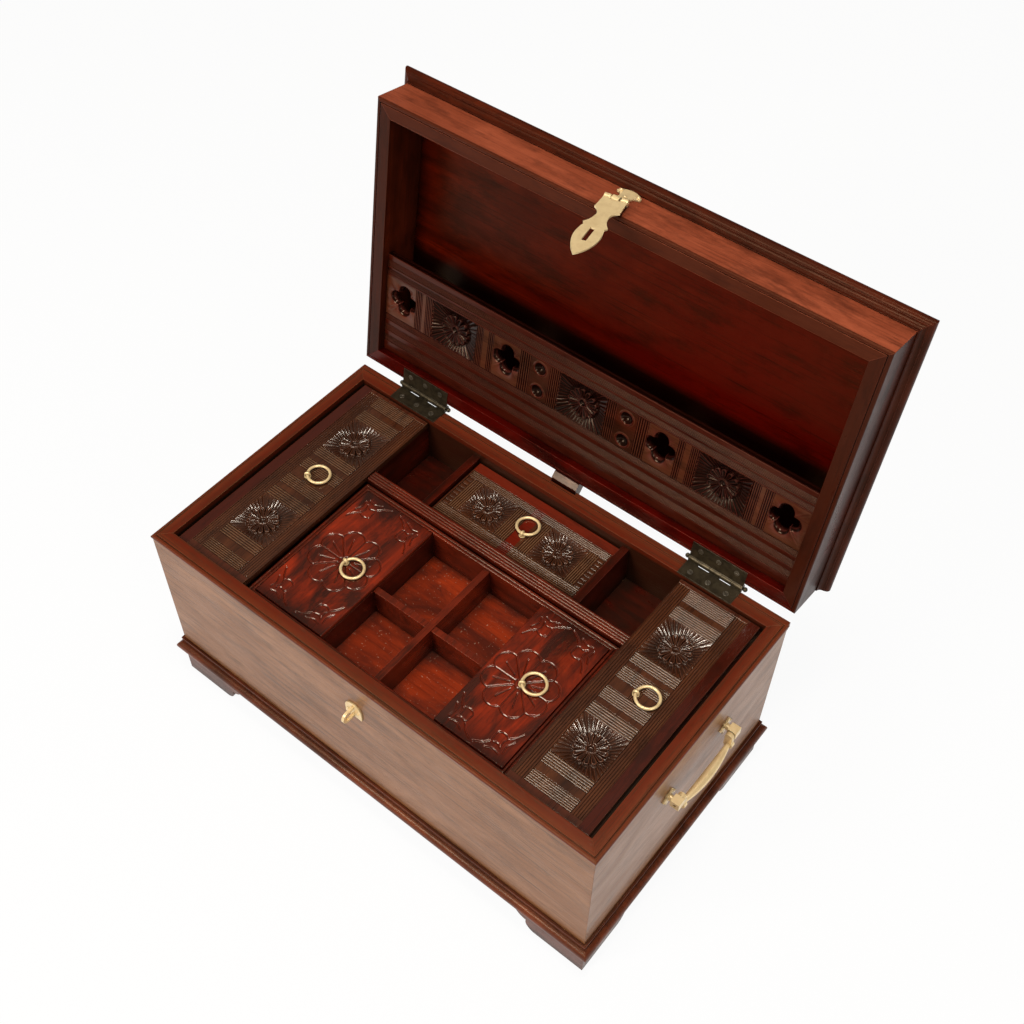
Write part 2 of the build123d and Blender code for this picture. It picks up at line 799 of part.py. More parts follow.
boards = case_boards()
for side, board in boards.items():
    save(f"case_{side}_board", board)
save("case_floor", block((-inner_x, inner_x), (-inner_y, inner_y), (floor_underside, floor_top)))
save("base_moulding", *four_sides(base_moulding_section(), half_length, half_depth).values())
for sign_y, place in ((-1, "front"), (1, "back")):
    save(f"{place}_feet", *foot(-1, sign_y), *foot(1, sign_y))
save("partitions", partition_piece(-1), partition_piece(1))
save("ledge_strips", *ledge_strips())
save("cross_rail", cross_rail())
save("till_floor", till_floor())
save("till_dividers", *till_dividers())
save("lid_stop", lid_stop())
save("staple_plate", staple_plate())
save("staple_loop", staple_loop())
save("staple_pins", *staple_pins())
lower_knuckles = range(0, hinge_knuckles, 2)
upper_knuckles = range(1, hinge_knuckles, 2)
bore = hinge_pin + running_fit
lower_leaf, upper_leaf = (lower_leaf_bottom, lower_leaf_top), (upper_leaf_bottom, upper_leaf_top)
lower_leaves = [hinge_leaf(x, *lower_leaf, lower_knuckles, hinge_pin) for x in hinge_places()]
save("hinge_leaves_case", *[cut(leaf, case_screws) for leaf in lower_leaves])
save("hinge_screws_case", *case_screws)
save("hinge_pins", *[hinge_pin_piece(x) for x in hinge_places()])
for sign, side in ((-1, "left"), (1, "right")):
    save(f"handle_posts_{side}", *[handle_post(sign, y) for y in handle_places()])
    save(f"handle_bail_{side}", bail(sign))

for side, board in lid_boards().items():
    save(f"lid_{side}_rail", opened(board))
panel = block((-half_length, half_length), (-half_depth, half_depth), (lid_top - lid_panel, lid_top))
save("lid_top_panel", opened(panel))
moulding_front, moulding_left, moulding_right = lid_mouldings()
save("lid_moulding_front", opened(moulding_front))
save("lid_moulding_sides", opened(moulding_left), opened(moulding_right))
save("lid_pocket_board", opened(pocket_piece()))
upper_leaves = [hinge_leaf(x, *upper_leaf, upper_knuckles, bore) for x in hinge_places()]
save("hinge_leaves_lid", *[opened(cut(leaf, lid_screws)) for leaf in upper_leaves])
save("hinge_screws_lid", *[opened(piece) for piece in lid_screws])
save("hasp_plate", opened(hasp_plate()))
save("hasp_plate_pins", *[opened(piece) for piece in hasp_plate_pins()])
save("hasp_pin", hung(hasp_pin_piece(), 0))
save("hasp_strap", hung(hasp_strap(), hasp_droop))

loose = {
    "long_left": ("long_lid_left", long_lid(-1)),
    "long_right": ("long_lid_right", long_lid(1)),
    "till": ("till_lid", till_lid()),
    "tray_left": ("tray_lid_left", tray_lid(-1)),
    "tray_right": ("tray_lid_right", tray_lid(1)),
}
for key, place in ring_places.items():
    name, lid = loose[key]
    eye = eye_shape(*place)
    save(name, lid - eye)
    save(f"ring_eye_{key}", eye)
    save(f"ring_{key}", ring(*place))
save("tray_walls", *tray_walls())
save("tray_floor", tray_floor_piece())
save("tray_partitions", *tray_partitions())
save("tray_dividers", *tray_dividers())
save("tray_ledges", *tray_ledges())
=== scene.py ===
import bpy
import bmesh
import math
import numpy as np
from mathutils import Matrix, Vector


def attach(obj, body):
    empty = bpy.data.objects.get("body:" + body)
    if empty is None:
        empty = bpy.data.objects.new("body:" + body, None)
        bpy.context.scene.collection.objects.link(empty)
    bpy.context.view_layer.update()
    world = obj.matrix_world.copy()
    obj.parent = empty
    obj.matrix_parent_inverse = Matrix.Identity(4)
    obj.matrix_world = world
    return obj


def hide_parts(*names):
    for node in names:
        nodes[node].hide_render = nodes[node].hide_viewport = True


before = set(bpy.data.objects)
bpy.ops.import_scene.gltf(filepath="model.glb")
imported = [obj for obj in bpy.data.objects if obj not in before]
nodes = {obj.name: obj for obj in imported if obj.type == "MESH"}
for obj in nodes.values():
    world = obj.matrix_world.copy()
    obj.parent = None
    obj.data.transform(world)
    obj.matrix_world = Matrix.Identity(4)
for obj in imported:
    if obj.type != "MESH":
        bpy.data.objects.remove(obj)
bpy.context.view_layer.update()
scene = bpy.context.scene
scene.view_settings.view_transform = "Standard"
mm = 0.001
lidOpen = math.radians(99.35)     # how far the lid is swung back
lidAxis = Vector((0, 117.0, 177.7)) * mm
lidCorner = Vector((0, 117.062, 182.757)) * mm     # the middle of the inner face's hinge edge, lid open

view = {
    "place": (0.36752, -0.41368, 0.93271),
    "turn": (39.033, -0.540, 38.729),
    "lens": 46.48,
}
stage = {"floorSize": 12.0, "floorWhite": 0.86, "floorGlow": 0.94, "skyLight": 0.13, "mirroredSky": 0.15,
         "skyTint": (1, 0.93, 0.82), "lampsAimAt": (0, 0.02, 0.15)}
lamps = {
    "above": {"place": (0.22, -0.12, 2.3), "size": (0.45, 0.35), "power": 27, "tint": (1.0, 0.95, 0.86)},
    "front": {"place": (-0.5, -1.6, 1.35), "size": (0.7, 0.5), "power": 23, "tint": (1.0, 0.93, 0.82)},
    "right": {"place": (1.7, -0.6, 1.3), "size": (0.7, 0.7), "power": 11, "tint": (1.0, 0.93, 0.82)},
}


def link(thing):
    scene.collection.objects.link(thing)
    return thing


def makeCamera():
    camera = link(bpy.data.objects.new("camera", bpy.data.cameras.new("camera")))
    camera.location = view["place"]
    camera.rotation_euler = [math.radians(a) for a in view["turn"]]
    camera.data.lens = view["lens"]
    camera.data.clip_start = 0.01
    scene.camera = camera


def makeLamps():
    for name, lamp in lamps.items():
        light = bpy.data.lights.new(name, "AREA")
        light.shape = "RECTANGLE"
        light.size, light.size_y = lamp["size"]
        light.energy = lamp["power"]
        light.color = lamp["tint"]
        holder = link(bpy.data.objects.new(name, light))
        holder.location = lamp["place"]
        towards = Vector(stage["lampsAimAt"]) - holder.location
        holder.rotation_euler = towards.to_track_quat("-Z", "Y").to_euler()


def addNode(tree, kind, **values):
    node = tree.nodes.new(kind)
    for key, value in values.items():
        setattr(node, key, value)
    return node


def join(tree, source, target):
    tree.links.new(source, target)


def feed(tree, values, slots):     # a number is written on the socket, an output is joined to it
    for name, value in values.items():
        if isinstance(value, (int, float, tuple)):
            slots[name].default_value = value
        else:
            join(tree, value, slots[name])


def maths(tree, operation, first, second=0.5):
    node = addNode(tree, "ShaderNodeMath", operation=operation)
    feed(tree, {0: first, 1: second}, node.inputs)
    return node.outputs[0]


def times(tree, first, second):
    return maths(tree, "MULTIPLY", first, second)


def emptyTree(owner):
    owner.use_nodes = True
    owner.node_tree.nodes.clear()
    return owner.node_tree


def shine(tree, kind, colour, strength):
    node = addNode(tree, kind)
    feed(tree, {"Color": (*colour, 1), "Strength": strength}, node.inputs)
    return node.outputs[0]


def blended(tree, share, first, second):
    node = addNode(tree, "ShaderNodeMixShader")
    feed(tree, {0: share, 1: first, 2: second}, node.inputs)
    return node.outputs[0]


def makeWorld():     # white where the camera looks, and a dim warm sky for the light
    world = bpy.data.worlds.new("studio")
    scene.world = world
    tree = emptyTree(world)
    rays = addNode(tree, "ShaderNodeLightPath").outputs
    mirrored = maths(tree, "MAXIMUM", rays["Is Glossy Ray"], rays["Is Transmission Ray"])
    gain = times(tree, mirrored, stage["mirroredSky"] - stage["skyLight"])
    strength = maths(tree, "ADD", gain, stage["skyLight"])
    sky = shine(tree, "ShaderNodeBackground", stage["skyTint"], strength)
    white = shine(tree, "ShaderNodeBackground", (1, 1, 1), 1.0)
    seen = blended(tree, rays["Is Camera Ray"], sky, white)
    join(tree, seen, addNode(tree, "ShaderNodeOutputWorld").inputs[0])


def makeFloor():     # matt where it takes light and shadow, glowing white in the rays that see it
    half = stage["floorSize"] / 2
    mesh = bpy.data.meshes.new("floor")
    rim = [(-half, -half, 0), (half, -half, 0), (half, half, 0), (-half, half, 0)]
    mesh.from_pydata(rim, [], [(0, 1, 2, 3)])
    floor = link(bpy.data.objects.new("floor", mesh))
    material = bpy.data.materials.new("pale floor")
    tree = emptyTree(material)
    matt = addNode(tree, "ShaderNodeBsdfDiffuse")
    matt.inputs["Color"].default_value = (stage["floorWhite"],) * 3 + (1,)
    glow = shine(tree, "ShaderNodeEmission", (1, 1, 1), 1.0)
    rays = addNode(tree, "ShaderNodeLightPath").outputs
    seen = maths(tree, "MAXIMUM", rays["Is Camera Ray"], rays["Is Glossy Ray"])
    seen = maths(tree, "MAXIMUM", seen, rays["Is Transmission Ray"])
    share = times(tree, seen, stage["floorGlow"])
    pale = blended(tree, share, matt.outputs[0], glow)
    join(tree, pale, addNode(tree, "ShaderNodeOutputMaterial").inputs[0])
    mesh.materials.append(material)


makeCamera()
makeLamps()
makeWorld()
makeFloor()
print("camera, lamps and floor are ready")

fades = {     # between which values of its source a layer sets in
    "blotch": (0.38, 0.60), "figure": (0.35, 0.68), "smudge": (0.50, 0.66), "streak": (0.53, 0.68),
    "fleck": (0.60, 0.70), "grit": (0.68, 0.73), "cloud": (0.40, 0.70), "rough": (0.3, 0.7),
    "speck": (0.25, 0.75), "edge": (0.995, 0.90), "corner": (0.82, 0.30), "patch": (0.35, 0.6, 0.35, 1.0),
}


def mask(tree, source, low, high, first=0.0, last=1.0):     # source from low to high as first to last
    node = addNode(tree, "ShaderNodeMapRange")
    feed(tree, {"Value": source, "From Min": low, "From Max": high,
                "To Min": first, "To Max": last}, node.inputs)
    return node.outputs[0]


def noise(tree, vector, scale, detail, roughness, distortion=0.0):
    node = addNode(tree, "ShaderNodeTexNoise")
    feed(tree, {"Vector": vector, "Scale": scale, "Detail": detail, "Roughness": roughness,
                "Distortion": distortion}, node.inputs)
    return node.outputs["Fac"]


def place(tree, vector, turn=(0, 0, 0), stretch=(1, 1, 1)):
    node = addNode(tree, "ShaderNodeMapping")
    feed(tree, {"Vector": vector, "Rotation": turn, "Scale": stretch}, node.inputs)
    return node.outputs[0]


def mixColour(tree, factor, first, second):
    node = addNode(tree, "ShaderNodeMix", data_type="RGBA")
    start, end = [socket for socket in node.inputs if socket.type == "RGBA"]
    first, second = ((*c, 1) if isinstance(c, tuple) else c for c in (first, second))
    feed(tree, {0: factor}, node.inputs)
    feed(tree, {0: first, 1: second}, (start, end))
    return [socket for socket in node.outputs if socket.type == "RGBA"][0]


def softEdges(tree, radius):     # a softened normal, and how near a sharp edge the point is
    bevel = addNode(tree, "ShaderNodeBevel", samples=4)
    bevel.inputs["Radius"].default_value = radius
    flat = addNode(tree, "ShaderNodeNewGeometry")
    dot = addNode(tree, "ShaderNodeVectorMath", operation="DOT_PRODUCT")
    feed(tree, {0: bevel.outputs[0], 1: flat.outputs["True Normal"]}, dot.inputs)
    return bevel.outputs[0], mask(tree, dot.outputs["Value"], *fades["edge"])


def startMaterial(name):
    material = bpy.data.materials.new(name)
    tree = emptyTree(material)
    shader = addNode(tree, "ShaderNodeBsdfPrincipled")
    join(tree, shader.outputs[0], addNode(tree, "ShaderNodeOutputMaterial").inputs[0])
    return material, tree, shader


def colourOf(red, green, blue):     # a screen colour of 0 to 255 as a shader colour
    def one(c):
        c = c / 255
        return c / 12.92 if c <= 0.04045 else ((c + 0.055) / 1.055) ** 2.4
    return one(red), one(green), one(blue)


grainTurn = {"X": (0, 0, 0), "Y": (0, 0, math.pi / 2)}

usualWood = {     # what a wood has unless it says otherwise; reach in metres
    # the corner share darkens the colour in corners within reach: painted shade
    "coat": 0.0, "worn": 0.4, "cornerShade": 0.9, "smudges": 0.5, "specks": 0, "reach": 0.011,
}

woods = {     # light, dark and pore are screen colours
    "outside": {     # open-pored brown walls, painted paler than their dark red-brown wood as a painted sheen of the white floor
        "smudges": 0.3,
        "light": (156, 106, 66), "dark": (118, 74, 43), "pore": (56, 33, 19),
        "pores": 0.75, "blotches": 0.45, "rough": (0.30, 0.44), "gloss": 0.4, "coat": 0.14, "worn": 0.2,
        "cornerShade": 0.8, "tint": (1.0, 0.74, 0.48),
    },
    "base": {     # red-brown strips and feet at the foot of the case
        "light": (122, 58, 34), "dark": (66, 24, 13), "pore": (30, 11, 7),
        "pores": 0.6, "blotches": 0.7, "rough": (0.28, 0.45), "gloss": 0.32, "coat": 0.05,
        "cornerShade": 0.8, "tint": (1.0, 0.72, 0.48),
    },
    "inside": {     # walls and dividers of the compartments
        "light": (84, 20, 8), "dark": (28, 6, 3), "pore": (10, 2, 1),
        "pores": 0.35, "blotches": 0.85, "rough": (0.22, 0.4), "gloss": 0.35, "coat": 0.1, "worn": 0.9,
        "tint": (1.0, 0.78, 0.55),
    },
    "rails": {     # reeded cross rail and tray walls
        "light": (120, 38, 18), "dark": (52, 13, 6), "pore": (18, 4, 2),
        "pores": 0.4, "blotches": 0.7, "rough": (0.2, 0.36), "gloss": 0.45, "coat": 0.2, "worn": 1.0,
        "tint": (1.0, 0.82, 0.62),
    },
    "lidPanel": {     # deep red inside of the lid
        "light": (88, 17, 2), "dark": (32, 3, 1), "pore": (10, 0, 0),
        "pores": 0.5, "blotches": 0.8, "rough": (0.26, 0.40), "gloss": 0.18, "worn": 0.35,
        "tint": (1.0, 0.48, 0.12),
    },
    "backRail": {     # saturated red strip along the hinge side
        "light": (92, 8, 3), "dark": (38, 2, 1), "pore": (20, 1, 0),
        "pores": 0.5, "blotches": 0.8, "rough": (0.16, 0.3), "gloss": 0.25, "worn": 0.8,
        "cornerShade": 0.8, "tint": (1.0, 0.5, 0.3),
    },
    "pocket": {     # dark carving inside the lid
        "light": (66, 15, 6), "dark": (26, 5, 2), "pore": (10, 2, 1),
        "pores": 0.4, "blotches": 0.9, "rough": (0.14, 0.26), "gloss": 0.2, "coat": 0.06, "worn": 0.8,
        "reach": 0.003, "tint": (1.0, 0.68, 0.46),
    },
    "lidRails": {     # lighter front board of the lid
        "light": (168, 84, 56), "dark": (120, 52, 31), "pore": (48, 15, 8),
        "pores": 0.45, "blotches": 0.5, "rough": (0.32, 0.48), "gloss": 0.16,
        "cornerShade": 0.95, "tint": (1.0, 0.6, 0.36),
    },
    "lidEdge": {     # darker end boards of the lid and the mouldings round its top
        "light": (84, 30, 13), "dark": (40, 11, 5), "pore": (20, 6, 3),
        "pores": 0.5, "blotches": 0.6, "rough": (0.26, 0.42), "gloss": 0.17, "worn": 0.5,
        "cornerShade": 0.8, "tint": (1.0, 0.62, 0.4),
    },
    "warm": {     # orange-red tray lids
        "light": (150, 44, 15), "dark": (52, 17, 9), "pore": (24, 7, 4),
        "pores": 0.35, "blotches": 0.95, "rough": (0.14, 0.3), "gloss": 0.5, "coat": 0.5,
        "tint": (1.0, 0.88, 0.76),
    },
    "floors": {     # brighter floors of the tray's cells
        "smudges": 0.2,
        "light": (166, 54, 19), "dark": (86, 23, 8), "pore": (48, 12, 4),
        "pores": 0.35, "blotches": 0.9, "rough": (0.3, 0.5), "gloss": 0.25, "worn": 0.2,
        "specks": 0.5, "cornerShade": 1.0, "tint": (1.0, 0.85, 0.7),
    },
    "carved": {     # dark stained carving
        "light": (96, 54, 32), "dark": (52, 25, 14), "pore": (20, 9, 5),
        "pores": 0.4, "blotches": 0.7, "rough": (0.14, 0.26), "gloss": 0.5, "coat": 0.5,
        "cornerShade": 0.7, "reach": 0.0025, "tint": (1.0, 0.93, 0.86),
    },
}
grains = {     # stretch along the grain, scale, detail, roughness and bend of each layer of noise
    "blotch": (0.4, 38, 5, 0.65, 0.8),
    "figure": (0.045, 150, 4, 0.6, 0.3),
    "streak": (0.02, 800, 3, 0.65, 0.0),
    "fleck": (0.06, 2200, 2, 0.6, 0.0),
    "smudge": (0.3, 75, 5, 0.7, 0.0),
}
finish = {     # what all woods share, lengths in metres
    "figureShare": 0.5, "speckScale": 650, "speckColour": (205, 175, 150),
    # the corner tone sets how dark the painted shade in the corners is, taken from the pore colour
    "smudgeShade": 0.8, "rubGain": 1.9, "rubAdd": 0.015, "cornerTone": 0.35, "figureRise": 0.6,
    "edge": 0.0006, "bump": 0.3, "bumpHeight": 0.0002, "coatRough": 0.10,
}


def grained(tree, coords, kind):     # one layer of noise, drawn out along the grain
    stretch, scale, detail, roughness, bend = grains[kind]
    return noise(tree, place(tree, coords, stretch=(stretch, 1, 1)), scale, detail, roughness, bend)


def corners(tree, reach):     # how deep in a corner the point lies
    near = addNode(tree, "ShaderNodeAmbientOcclusion", samples=3)
    near.inputs["Distance"].default_value = reach
    return mask(tree, near.outputs["AO"], *fades["corner"])


def laidBands(tree, bands, level, blotch, colour, coat):     # second colours, such as a red rim
    separate = addNode(tree, "ShaderNodeSeparateXYZ")
    join(tree, level, separate.inputs[0])
    for band in bands:
        wobble = times(tree, maths(tree, "SUBTRACT", blotch, 0.5), band["ragged"])
        height = separate.outputs[band["axis"]]
        if band.get("away"):
            height = maths(tree, "ABSOLUTE", height)
        height = maths(tree, "ADD", height, wobble)
        share = mask(tree, height, band["from"], band["to"], 0.0, band["share"])
        if band.get("under"):     # only on the side that lies under this height
            near = mask(tree, separate.outputs["Z"], band["under"], band["under"] - mm)
            share = times(tree, share, near)
        colour = mixColour(tree, share, colour, band["colour"])
        if band.get("dull"):
            coat = times(tree, maths(tree, "SUBTRACT", 1.0, share), coat)
    return colour, coat


def aged(tree, values, coords, objectPlace, colour):     # smudges, open pores and pale specks
    smudge, streaks, flecks = (mask(tree, grained(tree, coords, kind), *fades[kind])
                               for kind in ("smudge", "streak", "fleck"))
    smudge = times(tree, smudge, values["smudges"])
    colour = mixColour(tree, smudge, colour, tuple(c * finish["smudgeShade"] for c in values["pore"]))
    pores = times(tree, maths(tree, "MAXIMUM", streaks, flecks), values["pores"])
    colour = mixColour(tree, pores, colour, values["pore"])
    if values["specks"]:
        grit = mask(tree, noise(tree, objectPlace, finish["speckScale"], 2, 0.5), *fades["grit"])
        share = times(tree, grit, values["specks"])
        colour = mixColour(tree, share, colour, colourOf(*finish["speckColour"]))
    return colour, pores


def lighterEdgesDarkerCorners(tree, values, figure, colour):     # lighter edges, partly rubbed wear and partly a painted highlight, and painted shade in the corners
    softNormal, edge = softEdges(tree, finish["edge"])
    # lighter edges: partly rubbed wear, partly a painted highlight standing in for glints along the edges
    lighter = tuple(min(1, c * finish["rubGain"] + finish["rubAdd"]) for c in values["light"])
    patchy = times(tree, mask(tree, figure, *fades["patch"]), values["worn"])
    colour = mixColour(tree, times(tree, edge, patchy), colour, lighter)
    # painted shade: the colour darkens towards a dark pore tone in corners that ambient occlusion finds
    deep = times(tree, corners(tree, values["reach"]), values["cornerShade"])
    darkening = tuple(c * finish["cornerTone"] for c in values["pore"])
    return mixColour(tree, deep, colour, darkening), softNormal


def bumped(tree, shader, height, softNormal, strength, distance):
    bump = addNode(tree, "ShaderNodeBump")
    feed(tree, {"Strength": strength, "Distance": distance, "Height": height,
                "Normal": softNormal}, bump.inputs)
    join(tree, bump.outputs[0], shader.inputs["Normal"])


def wood(look, grain, onLid=False, bands=()):
    name = " ".join([look, grain] + (["lid"] if onLid else []) + [band["name"] for band in bands])
    if name in bpy.data.materials:
        return bpy.data.materials[name]
    values = {**usualWood, **woods[look]}
    values.update({key: colourOf(*values[key]) for key in ("light", "dark", "pore")})
    material, tree, shader = startMaterial(name)
    objectPlace = addNode(tree, "ShaderNodeTexCoord").outputs["Object"]
    level = place(tree, objectPlace, turn=(lidOpen, 0, 0)) if onLid else objectPlace
    coords = place(tree, level, turn=grainTurn[grain])
    blotch, figure = grained(tree, coords, "blotch"), grained(tree, coords, "figure")
    shade = times(tree, mask(tree, blotch, *fades["blotch"]), values["blotches"])
    colour = mixColour(tree, shade, values["light"], values["dark"])
    figured = times(tree, mask(tree, figure, *fades["figure"]), finish["figureShare"])
    colour = mixColour(tree, figured, colour, values["dark"])
    colour, coat = laidBands(tree, bands, level, blotch, colour, values["coat"])
    colour, pores = aged(tree, values, coords, objectPlace, colour)
    colour, softNormal = lighterEdgesDarkerCorners(tree, values, figure, colour)
    join(tree, colour, shader.inputs["Base Color"])
    low, high = values["rough"]
    join(tree, mask(tree, blotch, *fades["rough"], low, high), shader.inputs["Roughness"])
    relief = maths(tree, "SUBTRACT", times(tree, figure, finish["figureRise"]), pores)
    bumped(tree, shader, relief, softNormal, finish["bump"], finish["bumpHeight"])
    tint = (*values["tint"], 1)
    feed(tree, {"Specular IOR Level": values["gloss"], "Specular Tint": tint, "Coat Tint": tint,
                "Coat Weight": coat, "Coat Roughness": finish["coatRough"]}, shader.inputs)
    return material


metals = {
    "brass": {"light": (0.94, 0.72, 0.40), "dark": (0.72, 0.50, 0.24), "rough": (0.28, 0.42), "darkening": 0.5,
              "metallic": 0.35},
    "bronze": {"light": (0.085, 0.066, 0.040), "dark": (0.018, 0.014, 0.009), "rough": (0.28, 0.5),
               "darkening": 0.8, "metallic": 0.85},
    "steel": {"light": (0.24, 0.21, 0.16), "dark": (0.07, 0.055, 0.04), "rough": (0.25, 0.42), "darkening": 0.6,
              "metallic": 0.9},
}

metalFinish = {
    "cloud": 160, "speck": 1500, "edge": 0.0003, "reach": 0.003, "bump": 0.2, "bumpHeight": 0.0001,
    "rubGain": 1.4, "rubAdd": 0.04, "rubShare": 0.7, "cornerShare": 0.6, "cornerTone": 0.3,
}


def metal(look):
    name = "worn " + look     # the frame has a plain material that is called brass
    if name in bpy.data.materials:
        return bpy.data.materials[name]
    values = {**metals[look], **metalFinish}
    material, tree, shader = startMaterial(name)
    coords = addNode(tree, "ShaderNodeTexCoord").outputs["Object"]
    cloud = noise(tree, coords, values["cloud"], 4, 0.6, 0.4)
    speck = noise(tree, coords, values["speck"], 3, 0.6)
    dirty = times(tree, mask(tree, cloud, *fades["cloud"]), values["darkening"])
    colour = mixColour(tree, dirty, values["light"], values["dark"])
    softNormal, edge = softEdges(tree, values["edge"])
    bright = tuple(min(1, c * values["rubGain"] + values["rubAdd"]) for c in values["light"])
    colour = mixColour(tree, times(tree, edge, values["rubShare"]), colour, bright)
    # darker in the corners within reach
    deep = times(tree, corners(tree, values["reach"]), values["cornerShare"])
    colour = mixColour(tree, deep, colour, tuple(c * values["cornerTone"] for c in values["dark"]))
    join(tree, colour, shader.inputs["Base Color"])
    low, high = values["rough"]
    join(tree, mask(tree, speck, *fades["speck"], low, high), shader.inputs["Roughness"])
    bumped(tree, shader, speck, softNormal, values["bump"], values["bumpHeight"])
    shader.inputs["Metallic"].default_value = values["metallic"]
    return material


def dress(material, *names):
    for name in names:
        mesh = nodes[name].data
        mesh.materials.clear()
        mesh.materials.append(material)


def band(name, axis, start, stop, share, colour, ragged=0.0, **more):
    return {"name": name, "axis": axis, "from": start, "to": stop, "share": share,
            "colour": colourOf(*colour), "ragged": ragged, **more}


redRim = band("red rim", "Z", 0.1708, 0.1722, 0.92, (98, 30, 12), 0.001, dull=True)
darkSides = band("dark sides", "X", 0.1955, 0.1925, 0.97, (46, 14, 7), dull=True, away=True)
darkFront = band("dark front", "Y", 0.1075, 0.1045, 0.97, (46, 14, 7), dull=True, away=True)
darkRim = band("dark rim", "Z", 0.0876, 0.0868, 0.9, (56, 18, 6), 0.0006)
reddening = band("reddening", "X", -0.16, 0.10, 0.85, (84, 3, 1), 0.25)
dress(wood("outside", "X", bands=(darkFront, redRim)), "case_front_board", "case_back_board")
dress(wood("outside", "Y", bands=(darkSides, redRim)), "case_left_board", "case_right_board")
dress(wood("base", "X"), "base_moulding", "front_feet", "back_feet")
dress(wood("floors", "X"), "tray_floor")
dress(wood("rails", "X"), "cross_rail", "tray_walls")
dress(wood("inside", "X"), "case_floor", "till_floor", "lid_stop")
dress(wood("inside", "Y"), "partitions", "till_dividers", "ledge_strips", "tray_ledges", "tray_partitions")
dress(wood("rails", "Y"), "tray_dividers")
# painted shadow on the lid panel behind the pocket board, seen through its openings
unlit = band("unlit", "Y", -0.300, -0.292, 0.95, (12, 2, 1), under=0.1235)
dress(wood("lidPanel", "X", True, (reddening, unlit)), "lid_top_panel")
dress(wood("backRail", "X", True), "lid_back_rail")
dress(wood("pocket", "X", True), "lid_pocket_board")
dress(wood("lidRails", "X", True, (darkRim,)), "lid_front_rail")
dress(wood("lidEdge", "X", True), "lid_moulding_front")
dress(wood("lidEdge", "Y", True, (darkRim,)), "lid_left_rail", "lid_right_rail")
dress(wood("lidEdge", "Y", True), "lid_moulding_sides")
dress(metal("brass"), "staple_plate", "staple_loop", "staple_pins", "handle_posts_left", "handle_posts_right",
      "handle_bail_left", "handle_bail_right", "hasp_plate", "hasp_plate_pins", "hasp_pin", "hasp_strap",
      *[n for n in nodes if n.startswith("ring_")])
dress(metal("bronze"), "hinge_leaves_case", "hinge_leaves_lid", "hinge_pins")
dress(metal("steel"), "hinge_screws_case", "hinge_screws_lid")
print("finishes are on the frame")


def startTree(name, **inputs):     # a geometry tree with named inputs
    tree = bpy.data.node_groups.new(name, "GeometryNodeTree")
    for title, kind in inputs.items():
        tree.interface.new_socket(title, in_out="INPUT", socket_type="NodeSocket" + kind)
    tree.interface.new_socket("Geometry", in_out="OUTPUT", socket_type="NodeSocketGeometry")
    return tree, addNode(tree, "NodeGroupInput").outputs, addNode(tree, "NodeGroupOutput").inputs


def finishTree(tree, source, given, out):
    real = addNode(tree, "GeometryNodeRealizeInstances")
    paint = addNode(tree, "GeometryNodeSetMaterial")
    join(tree, source, real.inputs[0])
    feed(tree, {"Geometry": real.outputs[0], "Material": given["Material"]}, paint.inputs)
    join(tree, paint.outputs[0], out[0])


def moved(tree, geometry, **how):
    node = addNode(tree, "GeometryNodeTransform")
    feed(tree, {"Geometry": geometry, **how}, node.inputs)
    return node.outputs[0]


def combine(tree, x=0, y=0, z=0):
    node = addNode(tree, "ShaderNodeCombineXYZ")
    feed(tree, {"X": x, "Y": y, "Z": z}, node.inputs)
    return node.outputs[0]


def rowOf(tree, given, axis, **instance):     # copies at a pitch along an axis, centred on the origin
    middle = times(tree, maths(tree, "SUBTRACT", given["Count"], 1), -0.5)
    start = times(tree, middle, given["Pitch"])
    row = addNode(tree, "GeometryNodeMeshLine")
    feed(tree, {"Count": given["Count"], "Start Location": combine(tree, **{axis: start}),
                "Offset": combine(tree, **{axis: given["Pitch"]})}, row.inputs)
    copies = addNode(tree, "GeometryNodeInstanceOnPoints")
    feed(tree, {"Points": row.outputs[0], **instance}, copies.inputs)
    return copies.outputs[0]


def reedTree():     # lying half-buried rods side by side, along X
    tree, given, out = startTree("reeds", Count="Int", Pitch="Float", Length="Float", Height="Float",
                                 Material="Material")
    rod = addNode(tree, "GeometryNodeMeshCylinder")
    feed(tree, {"Vertices": 14, "Radius": 1.0, "Depth": 1.0}, rod.inputs)
    laid = moved(tree, rod.outputs["Mesh"], Rotation=(0, math.pi / 2, 0))
    half = times(tree, given["Pitch"], carving["reedHalf"])
    sized = moved(tree, laid, Scale=combine(tree, given["Length"], half, given["Height"]))
    finishTree(tree, rowOf(tree, given, "y", Instance=sized), given, out)
    return tree


